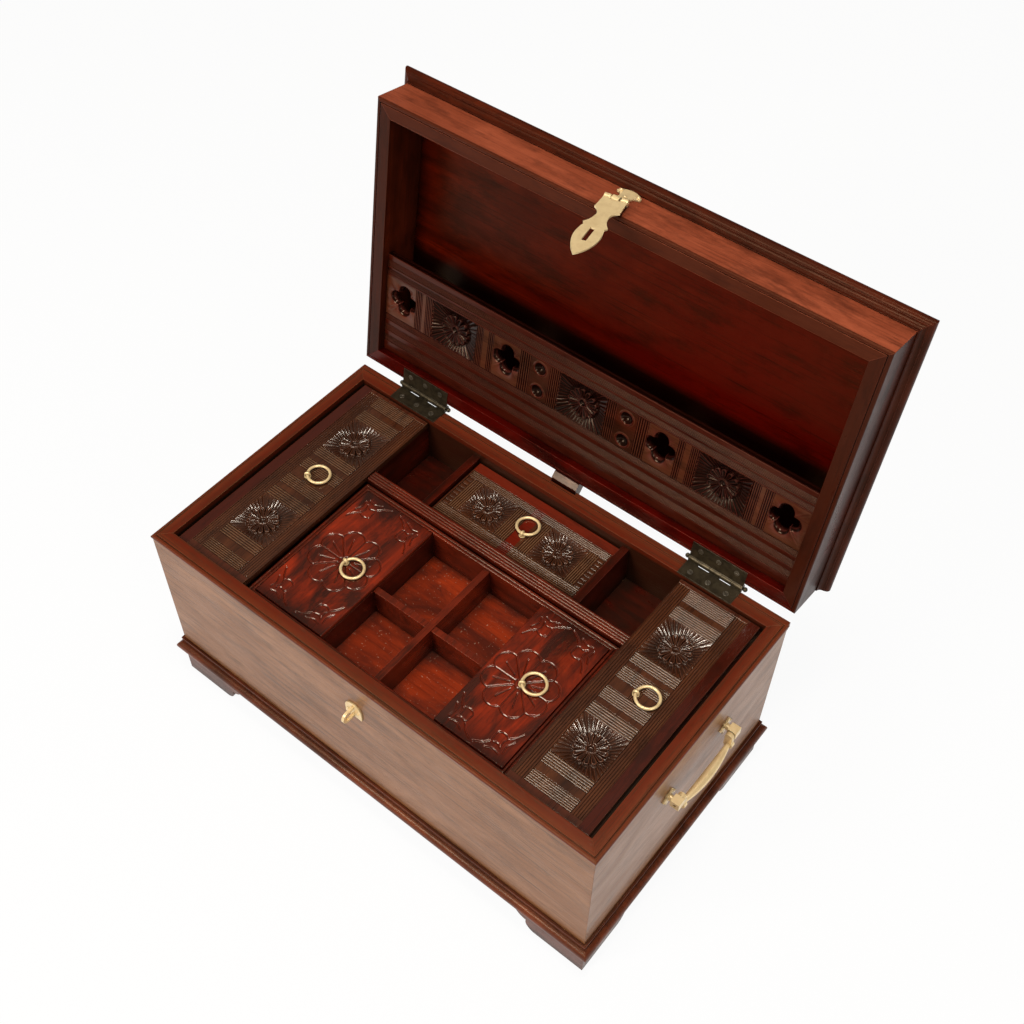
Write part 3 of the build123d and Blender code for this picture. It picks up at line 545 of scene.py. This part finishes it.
def screwTree():     # a row of countersunk screws with slots that stand at odd angles
    tree, given, out = startTree("screws", Count="Int", Pitch="Float", Head="Float", Shank="Float",
                                 Taper="Float", Length="Float", Slot="Float", Seed="Int", Material="Material")
    head = addNode(tree, "GeometryNodeMeshCone")
    feed(tree, {"Vertices": 28, "Radius Top": given["Head"], "Radius Bottom": given["Shank"],
                "Depth": given["Taper"]}, head.inputs)
    sunk = moved(tree, head.outputs["Mesh"], Translation=combine(tree, z=times(tree, given["Taper"], -1)))
    cut = addNode(tree, "GeometryNodeMeshCube")
    wide = times(tree, given["Head"], hingeScrew["cutWide"])
    deep = times(tree, given["Taper"], hingeScrew["cutDeep"])
    join(tree, combine(tree, wide, given["Slot"], deep), cut.inputs["Size"])
    slotted = addNode(tree, "GeometryNodeMeshBoolean", operation="DIFFERENCE", solver="EXACT")
    feed(tree, {0: sunk, 1: cut.outputs["Mesh"]}, slotted.inputs)
    shank = addNode(tree, "GeometryNodeMeshCylinder")
    thin = times(tree, given["Shank"], hingeScrew["shankThin"])
    feed(tree, {"Vertices": 16, "Radius": thin, "Depth": given["Length"]}, shank.inputs)
    half = maths(tree, "ADD", times(tree, given["Length"], 0.5), given["Taper"])
    down = times(tree, half, -hingeScrew["shankUnder"])
    low = moved(tree, shank.outputs["Mesh"], Translation=combine(tree, z=down))
    screw = addNode(tree, "GeometryNodeJoinGeometry")
    join(tree, slotted.outputs["Mesh"], screw.inputs[0])
    join(tree, low, screw.inputs[0])
    angle = addNode(tree, "FunctionNodeRandomValue")
    feed(tree, {"Min": 0.0, "Max": math.pi, "Seed": given["Seed"]},
         {i.name: i for i in angle.inputs if i.enabled})
    turned = addNode(tree, "FunctionNodeEulerToRotation")
    anyAngle = [o for o in angle.outputs if o.enabled][0]
    join(tree, combine(tree, z=anyAngle), turned.inputs["Euler"])
    copies = rowOf(tree, given, "x", Instance=screw.outputs[0], Rotation=turned.outputs[0])
    finishTree(tree, copies, given, out)
    return tree


def grow(tree, **values):     # runs a tree once and gives its plain mesh
    holder = link(bpy.data.objects.new("bench", bpy.data.meshes.new("bench")))
    modifier = holder.modifiers.new("bench", "NODES")
    modifier.node_group = tree
    for item in tree.interface.items_tree:
        if item.in_out == "INPUT":
            modifier[item.identifier] = values[item.name]
    holder.update_tag()
    made = bpy.data.meshes.new_from_object(holder.evaluated_get(bpy.context.evaluated_depsgraph_get()))
    bpy.data.objects.remove(holder)
    return made


def blockMesh(x, y, z, edge=0.3):     # a block with softened edges, in millimetres
    work = bmesh.new()
    bmesh.ops.create_cube(work, size=1)
    for vert in work.verts:
        spans = zip(vert.co, (x, y, z))
        vert.co = Vector([low + (high - low) * (c + 0.5) for c, (low, high) in spans]) * mm
    bmesh.ops.bevel(work, geom=list(work.edges), offset=edge * mm, segments=2, affect="EDGES", profile=0.5)
    mesh = bpy.data.meshes.new("block")
    work.to_mesh(mesh)
    work.free()
    return mesh


def gather(name, meshes, material, sharp=60):     # one piece from many plain meshes already in place
    work = bmesh.new()
    for mesh in meshes:
        firstFace, firstEdge = len(work.faces), len(work.edges)
        work.from_mesh(mesh)
        work.faces.ensure_lookup_table()
        work.edges.ensure_lookup_table()
        flat = mesh.name.startswith("block")
        for face in work.faces[firstFace:]:
            face.smooth = not flat
            face.material_index = 0
        for edge in work.edges[firstEdge:]:
            edge.smooth = not flat and edge.calc_face_angle(0) < math.radians(sharp)
        bpy.data.meshes.remove(mesh)
    whole = bpy.data.meshes.new(name)
    work.to_mesh(whole)
    work.free()
    whole.materials.append(material)
    return link(bpy.data.objects.new(name, whole))


def gridBlock(name, xs, ys, heights, bottom):     # a closed block whose top follows the heights
    nx, ny = len(xs), len(ys)
    gx, gy = np.meshgrid(xs, ys, indexing="ij")
    topPoints = np.stack([gx, gy, heights], -1).reshape(-1, 3)
    loop = [(i, 0) for i in range(nx)] + [(nx - 1, j) for j in range(1, ny)]
    loop += [(i, ny - 1) for i in range(nx - 2, -1, -1)] + [(0, j) for j in range(ny - 2, 0, -1)]
    rim = np.array([i * ny + j for i, j in loop])
    low = topPoints[rim].copy()
    low[:, 2] = bottom
    points = np.concatenate([topPoints, low]) * mm
    a = (np.arange(nx - 1)[:, None] * ny + np.arange(ny - 1)[None, :]).ravel()
    faces = np.stack([a, a + ny, a + ny + 1, a + 1], -1).tolist()
    first, count = len(topPoints), len(rim)
    for k in range(count):
        n = (k + 1) % count
        faces.append([int(rim[n]), int(rim[k]), first + k, first + n])
    faces.append([first + k for k in reversed(range(count))])
    mesh = bpy.data.meshes.new(name)
    mesh.from_pydata(points.tolist(), [], faces)
    return mesh


sun = {     # a dished square of flutes round a flower of hollowed petals, lengths in millimetres
    "flutes": 40, "fluteDeep": 0.8, "fluteSharp": 0.8, "slopeFrom": 0.94, "moat": 0.7,
    "petals": 13, "petalRise": 2.3, "petalStart": 3.6, "petalFill": 0.90, "roundFrom": 0.68,
    "crest": 0.66, "hollow": 0.55, "rootRise": 0.4, "heart": 4.0,
    "bossAt": 2.9, "bossWide": 0.85, "bossRise": 1.5, "drill": 0.7,
}
bowl = {"lipRise": 0.5, "lipAt": 1.12, "lipWide": 0.14}     # the lip's place is a share of the radius


def petalHeights(r, angle, petalEnd):     # hollowed petals with round ends, and where they stand
    aside = np.abs((angle / math.tau * sun["petals"]) % 1.0 - 0.5) * 2
    along = (r - sun["petalStart"]) / (petalEnd - sun["petalStart"])
    pastRound = np.clip((along - sun["roundFrom"]) / (1 - sun["roundFrom"]), 0, 3)
    edge = np.hypot(aside, pastRound) / sun["petalFill"]
    outer = np.sqrt(np.clip(1 - ((edge - sun["crest"]) / (1 - sun["crest"])) ** 2, 0, 1))
    inner = sun["hollow"] + (1 - sun["hollow"]) * (edge / sun["crest"]) ** 2.2
    rise = sun["rootRise"] + (1 - sun["rootRise"]) * np.clip(along, 0, 1) ** 0.8
    return sun["petalRise"] * np.where(edge < sun["crest"], inner, outer) * rise, (edge < 1) & (along > -0.2)


def sunHeights(gx, gy, tile, middle, deep, petalEnd):
    (x0, x1), (y0, y1) = tile
    px, py = gx - middle[0], gy - middle[1]
    r = np.hypot(px, py) + 1e-6
    angle = np.arctan2(py, px)
    sideX = np.where(px > 0, x1 - middle[0], middle[0] - x0) / np.maximum(np.abs(px / r), 1e-6)
    sideY = np.where(py > 0, y1 - middle[1], middle[1] - y0) / np.maximum(np.abs(py / r), 1e-6)
    foot = petalEnd * sun["slopeFrom"]
    up = np.clip((r - foot) / (np.minimum(sideX, sideY) - foot), 0, 1)
    gap = 1 - np.abs(np.sin(sun["flutes"] / 2 * angle)) ** sun["fluteSharp"]
    heights = -deep * (1 - up) - sun["fluteDeep"] * gap * (0.5 + 0.5 * up) - sun["moat"] * (1 - up) ** 4
    petal, inPetal = petalHeights(r, angle, petalEnd)
    heights = np.where(inPetal, np.maximum(heights, petal - deep), heights)
    swell = np.exp(-((r - sun["bossAt"]) / sun["bossWide"]) ** 2)
    ring = -deep - sun["drill"] + (sun["bossRise"] + sun["drill"]) * swell
    heart = np.where(r < sun["bossAt"], ring, np.maximum(ring, heights))
    return np.where(r < sun["heart"], heart, heights)


def bowlHeights(gx, gy, middles, radius, deep):     # hollows with a lip that stands a little proud
    heights = np.zeros(gx.shape)
    for x, y in middles:
        r = np.hypot(gx - x, gy - y) / radius
        heights -= deep * np.clip(1 - r * r, 0, 1)
        heights += bowl["lipRise"] * np.exp(-((r - bowl["lipAt"]) / bowl["lipWide"]) ** 2)
    return heights


def steps(low, high, spacing):
    return np.linspace(low, high, round((high - low) / spacing) + 1)


carving = {     # millimetres; the half width of a reed is a share of the pitch
    "reedHalf": 0.46, "reedRise": 0.85, "spacing": 0.28, "rooted": 0.5,
    "bedEdge": 0.1, "ledgeEdge": 0.25, "baseEdge": 0.4,
}
reeds = reedTree()


class Carver:     # lays reeds, suns and slabs on a flat ground, all in millimetres
    def __init__(self, ground, material, turn=Matrix.Identity(4)):
        self.ground, self.material, self.turn, self.made = ground, material, turn, []

    def lay(self, mesh, spot=Matrix.Identity(4)):
        mesh.transform(self.turn @ spot)
        self.made.append(mesh)

    def row(self, x, y, count, pitch, length, rise=carving["reedRise"], angle=0):
        mesh = grow(reeds, Count=count, Pitch=pitch * mm, Length=length * mm, Height=rise * mm,
                    Material=self.material)
        spot = Matrix.Translation(Vector((x, y, self.ground)) * mm)
        self.lay(mesh, spot @ Matrix.Rotation(angle, 4, "Z"))

    def reedsAcross(self, x0, x1, y0, y1, count):     # reeds that run along X
        self.row((x0 + x1) / 2, (y0 + y1) / 2, count, (y1 - y0) / count, x1 - x0)

    def reedsAlong(self, x0, x1, y0, y1, count, rise=carving["reedRise"]):     # reeds that run along Y
        self.row((x0 + x1) / 2, (y0 + y1) / 2, count, (x1 - x0) / count, y1 - y0, rise, math.pi / 2)

    def relief(self, x, y, top, bottom, shape):     # a tile whose face follows a function of its grid
        xs, ys = steps(*x, carving["spacing"]), steps(*y, carving["spacing"])
        gx, gy = np.meshgrid(xs, ys, indexing="ij")
        self.lay(gridBlock("relief", xs, ys, top + shape(gx, gy), bottom))

    def sunTile(self, x, y, middle, top, bottom, d):
        self.relief(x, y, top - d["sunDrop"], bottom,
                    lambda gx, gy: sunHeights(gx, gy, (x, y), middle, d["sunDeep"], d["petalEnd"]))

    def slab(self, x, y, z, edge=0.3):
        self.lay(blockMesh(x, y, z, edge))

    def done(self, name, body, node=None):     # a loose lid's node has the name of its body
        settle(gather(name, self.made, self.material), body, node or body)


def settle(piece, body, node):     # on its body and in the place of the plain solid
    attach(piece, body)
    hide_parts(node)


hingeScrew = {     # millimetres; cutWide to shankUnder are shares
    "lengths": {"Pitch": 15.0, "Head": 2.05, "Shank": 1.0, "Taper": 1.3, "Length": 7.6, "Slot": 0.55},
    "cutWide": 3, "cutDeep": 0.9, "shankThin": 0.98, "shankUnder": 0.99,
    "count": 3, "places": (-137.0, 137.0), "y": 106.5, "sharp": 25,
    "lower": {"z": 176.32, "seed": 2}, "upper": {"z": 176.62, "seed": 7},
}
screws = screwTree()


def makeHingeScrews(name, body, node, leaf):
    d, made = hingeScrew, []
    lengths = {key: length * mm for key, length in d["lengths"].items()}
    for k, x in enumerate(d["places"]):
        mesh = grow(screws, Count=d["count"], Seed=d[leaf]["seed"] + k, Material=metal("steel"), **lengths)
        turn = Matrix.Translation(Vector((x, d["y"], d[leaf]["z"])) * mm)
        if leaf == "upper":     # these screws point the other way and swing back with the lid
            turn = swing() @ turn @ Matrix.Rotation(math.pi, 4, "X")
        mesh.transform(turn)
        made.append(mesh)
    settle(gather(name, made, metal("steel"), d["sharp"]), body, node)


def swing():     # from the closed lid to the open one
    axis = Matrix.Translation(lidAxis)
    return axis @ Matrix.Rotation(-lidOpen, 4, "X") @ axis.inverted()


makeHingeScrews("slottedScrewsCase", "case", "hinge_screws_case", "lower")
makeHingeScrews("slottedScrewsLid", "lid", "hinge_screws_lid", "upper")
print("hinge screws are in")

longLid = {
    "x": (119.5, 185.5), "y": (-99.7, 99.7), "z": (167.0, 173.0), "ground": 172.05, "sunk": 170.0,
    "carvedY": (-94.2, 96.2), "field": (130.3, 167.1),
    "innerReeds": (120.6, 130.1, 5), "outerReeds": (167.4, 176.6, 5), "borderRise": 0.68,
    "plain": [(67.7, 96.2), (-29.9, 30.2), (-94.2, -67.4)],
    "bands": [(84.6, 96.0, 7), (67.9, 78.9, 6), (20.6, 30.0, 5), (5.3, 15.7, 6),
              (-14.7, -4.5, 6), (-29.7, -19.7, 5), (-77.1, -67.6, 5), (-94.0, -84.3, 6)],
    "ledges": [(79.1, 84.4), (15.9, 20.4), (-19.5, -14.9), (-84.1, -77.3)], "ledgeDrop": 0.35,
    "beside": [(130.3, 147.0), (153.2, 167.1)], "besideY": (-4.2, 5.1),
    "midReeds": (147.2, 153.0, -4.3, 5.2, 4),
    "suns": [(30.2, 67.7, (149.6, 48.2)), (-67.4, -29.9, (150.0, -49.6))],
    "sunDrop": 0.1, "sunDeep": 2.4, "petalEnd": 12.8,
}


def carvedBands(top):     # painted shade between the reeds, a painted highlight on top of them, and a red-brown border
    return (band("grimy ground", "Z", top - 0.0004, top - 0.0011, 0.6, (30, 14, 8)),
            band("rubbed tops", "Z", top - 0.00026, top - 0.00013, 0.55, (124, 96, 70)),
            band("plain border", "Z", top - 0.00008, top - 0.00003, 0.92, (72, 28, 15)))


def makeLongLid(side, name, body):
    d = longLid
    left, edge, (yLow, yHigh) = d["x"][0], d["outerReeds"][1], d["carvedY"]
    low, top = d["sunk"] - carving["rooted"], d["z"][1]
    bed = ((low, d["ground"]), carving["bedEdge"])
    ledge = ((d["ground"] - 1, top - d["ledgeDrop"]), carving["ledgeEdge"])
    border = band("red border", "X", (edge - 0.4) * mm, (edge + 0.6) * mm, 0.8, (64, 17, 9), 0.004, away=True)
    work = Carver(d["ground"], wood("carved", "Y", bands=(*carvedBands(top * mm), border)))
    work.slab(d["x"], d["y"], (d["z"][0], d["sunk"]), carving["baseEdge"])
    work.slab((edge, d["x"][1]), d["y"], (low, top))
    work.slab((left, edge), (yHigh, d["y"][1]), (low, top))
    work.slab((left, edge), (d["y"][0], yLow), (low, top))
    work.slab((left, d["field"][0]), d["carvedY"], *bed)
    work.slab((d["field"][1], edge), d["carvedY"], *bed)
    for y in d["plain"]:
        work.slab(d["field"], y, *bed)
    for a, b, count in (d["innerReeds"], d["outerReeds"]):
        work.reedsAlong(a, b, yLow, yHigh, count, d["borderRise"])
    for y0, y1, count in d["bands"]:
        work.reedsAcross(*d["field"], y0, y1, count)
    for y in d["ledges"]:
        work.slab(d["field"], y, *ledge)
    for x in d["beside"]:
        work.slab(x, d["besideY"], *ledge)
    work.reedsAlong(*d["midReeds"])
    for y0, y1, middle in d["suns"]:
        work.sunTile(d["field"], (y0, y1), middle, top, low, d)
    if side < 0:
        for mesh in work.made:
            mesh.transform(Matrix.Scale(-1, 4, (1, 0, 0)))
            mesh.flip_normals()
    work.done(name, body)


makeLongLid(1, "carvedLongLidRight", "long_lid_right")
makeLongLid(-1, "carvedLongLidLeft", "long_lid_left")
print("long lids are carved")

tillLid = {
    "x": (-66.2, 66.2), "y": (40.3, 99.7), "z": (159.0, 164.0), "ground": 163.05, "sunk": 161.2,
    "carvedX": (-65.0, 65.0), "carvedY": (43.3, 91.2), "endY": (43.5, 91.0), "endEdge": 0.2,
    "field": (52.4, 84.5), "reedX": (-64.8, 64.8),
    "backReeds": (85.0, 91.0, 4), "frontReeds": (43.5, 52.0, 5),
    "plain": [(-64.8, -50.0), (-15.4, 16.4), (50.3, 64.8)],
    "banks": [(-59.2, -50.2, 5), (-15.2, -4.6, 6), (7.4, 16.2, 5), (50.5, 59.2, 5)],
    "middleX": (-4.2, 7.0), "middleY": (52.6, 84.3), "middleDrop": 0.3,
    "scallopX": (-62.2, 62.0), "scallops": 8, "scallopStep": 4.0, "scallopWide": 3.6,
    "scallopLong": 4.6, "scallopRise": 0.5,
    "suns": [(-50.0, -15.4, (-33.0, 68.2)), (16.4, 50.3, (33.0, 68.2))],
    "sunDrop": 0.1, "sunDeep": 2.2, "petalEnd": 12.2,
}


def makeTillLid():
    d = tillLid
    (x0, x1), (y0, y1) = d["carvedX"], d["carvedY"]
    low, top = d["sunk"] - carving["rooted"], d["z"][1]
    bed = ((low, d["ground"]), carving["bedEdge"])
    redMiddle = band("red middle", "X", 0.0047, 0.0041, 0.9, (104, 22, 9), away=True)
    redBack = band("red back", "Y", (y1 - 0.4) * mm, (y1 + 0.2) * mm, 0.8, (110, 28, 10), 0.002)
    work = Carver(d["ground"], wood("carved", "X", bands=(*carvedBands(top * mm), redMiddle, redBack)))
    work.slab(d["x"], d["y"], (d["z"][0], d["sunk"]), carving["baseEdge"])
    work.slab(d["x"], (y1, d["y"][1]), (low, top))
    work.slab(d["x"], (d["y"][0], y0), (low, top))
    for x in ((d["x"][0], x0), (x1, d["x"][1])):
        work.slab(x, d["endY"], (low, top), d["endEdge"])
    work.slab(d["carvedX"], (d["field"][1], y1), *bed)
    work.slab(d["carvedX"], (y0, d["field"][0]), *bed)
    for x in d["plain"]:
        work.slab(x, d["field"], *bed)
    work.reedsAcross(*d["reedX"], *d["backReeds"])
    work.reedsAcross(*d["reedX"], *d["frontReeds"])
    for a, b, count in d["banks"]:
        work.reedsAlong(a, b, *d["field"], count)
    work.slab(d["middleX"], d["middleY"], (d["ground"] - 1, top - d["middleDrop"]), carving["ledgeEdge"])
    for a, b, middle in d["suns"]:
        work.sunTile((a, b), d["field"], middle, top, low, d)
    for x in d["scallopX"]:     # a row of scallops at each end
        for k in range(d["scallops"]):
            y = d["field"][0] + d["scallopStep"] * (k + 0.5)
            work.row(x, y, 1, d["scallopWide"], d["scallopLong"], d["scallopRise"])
    work.done("carvedTillLid", "till_lid")


makeTillLid()
print("the till lid is carved")

pocket = {     # millimetres from the hinge corner of the lid's inner face; depths go into the lid
    "x": (-187.5, 187.5), "y": (12.5, 100.0), "face": 6.0, "back": 12.0, "ground": 7.0, "sunk": 10.4,
    "field": (47.2, 82.2), "lineEnd": 0.2,
    "lines": [(83.6, 87.9, 4), (90.3, 95.6, 5), (41.6, 46.6, 5), (31.6, 37.4, 5), (21.6, 27.2, 5)],
    "flats": [(82.2, 83.4), (88.1, 90.1), (95.8, 100.0), (37.6, 41.4), (27.4, 31.4), (12.5, 21.4)],
    "banks": [(21.2, 29.8, 5), (47.2, 56.8, 5), (81.6, 86.8, 3), (91.8, 97.8, 4), (141.4, 147.8, 4),
              (151.2, 157.8, 4)],
    "posts": [(86.8, 91.8), (147.8, 151.2)], "postDrop": 0.1, "postEdge": 0.2,
    "middleSun": ((-20.8, 20.8), (0, 64.7)), "sideSun": ((98.2, 141.0), (119.6, 64.7)),
    "sunDrop": 0.05, "sunDeep": 3.2, "petalEnd": 13.2,
    "dimpleTile": (29.8, 47.2), "dimples": [(38.4, 54.4), (38.4, 74.6)], "dimple": (5.0, 3.4),
    "dimpleDrop": 0.25,
    "pierced": [((56.8, 81.6), 68.5), ((157.8, 187.5), 169.0)], "piercedAt": 66.0, "piercedDrop": 0.1,
    "lobe": 5.0, "lobeOut": 6.1, "lip": 1.24, "lipDeep": 2.2, "around": 112,
}


def onLid():     # to the open lid's inner face: Y away from the hinge, Z out of the face
    return Matrix.Translation(lidCorner) @ Matrix.Rotation(math.pi - lidOpen, 4, "X")


def piercedTile(x, y, middle, top, bottom):     # a tile with a four-lobed opening and a scooped lip
    d = pocket
    around = d["around"]
    loops = [[] for _ in range(5)]
    for k in range(around):
        angle = math.tau * (k + 0.5) / around
        across, along = math.cos(angle), math.sin(angle)
        off = (angle + math.pi / 4) % (math.pi / 2) - math.pi / 4
        hole = d["lobeOut"] * math.cos(off) + math.sqrt(d["lobe"] ** 2 - (d["lobeOut"] * math.sin(off)) ** 2)
        reachX = ((x[1] - middle[0]) if across > 0 else (middle[0] - x[0])) / abs(across)
        reachY = ((y[1] - middle[1]) if along > 0 else (middle[1] - y[0])) / abs(along)
        reach = min(reachX, reachY)
        lip = min(hole * d["lip"], reach - 0.04)
        hole = min(hole, lip - 0.02)
        for loop, r, z in zip(loops, (reach, lip, hole, hole, reach),
                              (top, top, top - d["lipDeep"], bottom, bottom)):
            loop.append((middle[0] + r * across, middle[1] + r * along, z))
    points = [tuple(c * mm for c in p) for loop in loops for p in loop]
    faces = []
    for ring in range(5):
        a, b = ring * around, (ring + 1) % 5 * around
        for k in range(around):
            n = (k + 1) % around
            faces.append((a + k, a + n, b + n, b + k))
    mesh = bpy.data.meshes.new("pierced")
    mesh.from_pydata(points, [], faces)
    work = bmesh.new()
    work.from_mesh(mesh)
    bmesh.ops.recalc_face_normals(work, faces=work.faces)
    work.to_mesh(mesh)
    work.free()
    return mesh


def bothSides(x):     # a stretch on the right and its mirror on the left
    return x, (-x[1], -x[0])


def makePocketBoard():
    d = pocket
    # painted shade on the ground between the reeds, a painted highlight on their tops, and a red-brown border
    bands = (band("grimy ground", "Z", 0.0920, 0.0925, 0.85, (14, 4, 2)),
             band("rubbed tops", "Z", 0.0921, 0.0920, 0.35, (122, 72, 48)),
             band("plain border", "Z", 0.09190, 0.09184, 0.9, (62, 15, 6)))
    work = Carver(-d["ground"], wood("pocket", "X", True, bands), onLid())
    ground, top, low, back = -d["ground"], -d["face"], -d["sunk"], -d["back"]
    (x0, x1), (f0, f1) = d["x"], d["field"]
    for y in ((d["y"][0], f0), (f1, d["y"][1])):
        work.slab(d["x"], y, (back, ground), 0.2)
    for y in d["flats"]:
        work.slab(d["x"], y, (low, top), carving["ledgeEdge"])
    for y0, y1, count in d["lines"]:
        work.reedsAcross(x0 + d["lineEnd"], x1 - d["lineEnd"], y0, y1, count)
    for a, b, count in d["banks"]:
        for x in bothSides((a, b)):
            work.slab(x, d["field"], (back, ground), carving["bedEdge"])
            work.reedsAlong(*x, *d["field"], count)
    for post in d["posts"]:
        for x in bothSides(post):
            work.slab(x, d["field"], (back, top - d["postDrop"]), d["postEdge"])
    sideTile, (sideX, sideY) = d["sideSun"]
    mirrored = (bothSides(sideTile)[1], (-sideX, sideY))
    for tile, middle in (d["middleSun"], d["sideSun"], mirrored):
        work.sunTile(tile, d["field"], middle, top, back, d)
    for side, tile in zip((1, -1), bothSides(d["dimpleTile"])):
        middles = [(side * x, y) for x, y in d["dimples"]]
        work.relief(tile, d["field"], top - d["dimpleDrop"], back,
                    lambda gx, gy: bowlHeights(gx, gy, middles, *d["dimple"]))
    for right, x in d["pierced"]:
        for side, tile in zip((1, -1), bothSides(right)):
            middle = (side * x, d["piercedAt"])
            work.lay(piercedTile(tile, d["field"], middle, top - d["piercedDrop"], back))
    work.done("carvedPocketBoard", "lid", "lid_pocket_board")


makePocketBoard()
print("the pocket board is carved")

trayLid = {     # millimetres; cup, wing and curl are measured in from a corner
    "spacing": 0.3, "thickness": 4.5, "top": 167.0, "groove": 1.0, "deep": 0.75,
    "round": 0.35, "roundSlope": 0.8,
    "right": {"x": (54.3, 112.6), "y": (-94.6, 22.8), "flower": (82.5, -37.5)},
    "left": {"x": (-112.6, -48.8), "y": (-94.6, 22.8), "flower": (-80.5, -37.0)},
    "petals": 8, "notch": 22.5, "notchFrom": 4.6, "vein": (8.0, 19.5), "eye": 3.9,
    "tip": 18.4, "lobe": 8.94, "lobeReach": 76,
    "cup": [(10.2, 10.4), (13.2, 12.2), (17.6, 11.6), (18.6, 15.5), (18.2, 19.4), (14.0, 20.8),
            (10.2, 19.0), (11.0, 15.0), (10.2, 10.4)],
    "wing": [(10.4, 18.4), (6.6, 22.2), (3.6, 27.6)],
    "curl": [(8.7, 6.4), (13.6, 7.2), (19.0, 4.8)],
}


def smoothed(points, parts=6):     # a soft curve through the points
    points = [np.array(p, float) for p in points]
    ends = [2 * points[0] - points[1]] + points + [2 * points[-1] - points[-2]]
    out = []
    for a, b, c, d in zip(ends, ends[1:], ends[2:], ends[3:]):
        for k in range(parts):
            t = k / parts
            out.append(0.5 * (2 * b + (c - a) * t + (2 * a - 5 * b + 4 * c - d) * t * t
                              + (3 * b - a - 3 * c + d) * t ** 3))
    return np.array(out + [points[-1]])


def ray(middle, angle, *reaches):     # points at some distances from the middle, in one direction
    return np.array([(middle[0] + r * math.cos(angle), middle[1] + r * math.sin(angle)) for r in reaches])


def arc(middle, radius, start, stop, count):
    return np.array([ray(middle, angle, radius)[0] for angle in np.linspace(start, stop, count)])


def trayGrooves(side):
    d, lid = trayLid, trayLid[side]
    flower, step, reach = lid["flower"], math.tau / d["petals"], math.radians(d["lobeReach"])
    lines = [arc(flower, d["eye"], 0, math.tau, 25)]
    for k in range(d["petals"]):
        edge, middle = step * k, step * (k + 0.5)
        lines.append(ray(flower, edge, d["notchFrom"], d["notch"]))
        lines.append(ray(flower, middle, *d["vein"]))
        tip = ray(flower, middle, d["tip"])[0]
        lines.append(arc(tip, d["lobe"], middle - reach, middle + reach, 15))
    swapped = [[(b, a) for a, b in d[part]] for part in ("wing", "curl")]
    for x, wayX in zip(lid["x"], (1, -1)):
        for y, wayY in zip(lid["y"], (1, -1)):
            for part in (d["cup"], d["wing"], d["curl"], *swapped):
                lines.append(smoothed([(x + wayX * a, y + wayY * b) for a, b in part]))
    return lines


def lineDistance(px, py, line):     # how far each point of the grid is from one line
    near = np.full(px.shape, 1e9)
    for (ax, ay), (bx, by) in zip(line, line[1:]):
        dx, dy = bx - ax, by - ay
        t = np.clip(((px - ax) * dx + (py - ay) * dy) / (dx * dx + dy * dy + 1e-12), 0, 1)
        near = np.minimum(near, np.hypot(px - ax - t * dx, py - ay - t * dy))
    return near


def makeTrayLid(side, name, body):
    d, lid = trayLid, trayLid[side]
    (x0, x1), (y0, y1) = lid["x"], lid["y"]
    xs, ys = (np.linspace(a, b, int((b - a) / d["spacing"]) + 1) for a, b in (lid["x"], lid["y"]))
    gx, gy = np.meshgrid(xs, ys, indexing="ij")
    heights = np.full(gx.shape, d["top"])
    for line in trayGrooves(side):
        near = lineDistance(gx, gy, line)
        cut = d["deep"] * (0.5 + 0.5 * np.cos(math.pi * np.clip(near / d["groove"], 0, 1)))
        heights = np.minimum(heights, d["top"] - cut)
    edge = np.minimum(np.minimum(gx - x0, x1 - gx), np.minimum(gy - y0, y1 - gy))
    heights -= np.clip(d["round"] - edge, 0, 1) * d["roundSlope"]
    look = wood("warm", "Y", bands=(
        band("grooves", "Z", 0.16685, 0.16650, 0.75, (44, 22, 15)),
        band("dark back end", "Y", 0.004, 0.022, 0.75, (40, 13, 8), 0.05),
        band("dark front end", "Y", -0.078, -0.094, 0.75, (40, 13, 8), 0.05),
    ))
    mesh = gridBlock(name, xs, ys, heights, d["top"] - d["thickness"])
    settle(gather(name, [mesh], look), body, body)


makeTrayLid("right", "carvedTrayLidRight", "tray_lid_right")
makeTrayLid("left", "carvedTrayLidLeft", "tray_lid_left")
print("the tray lids are incised")

print("all pieces are in place")
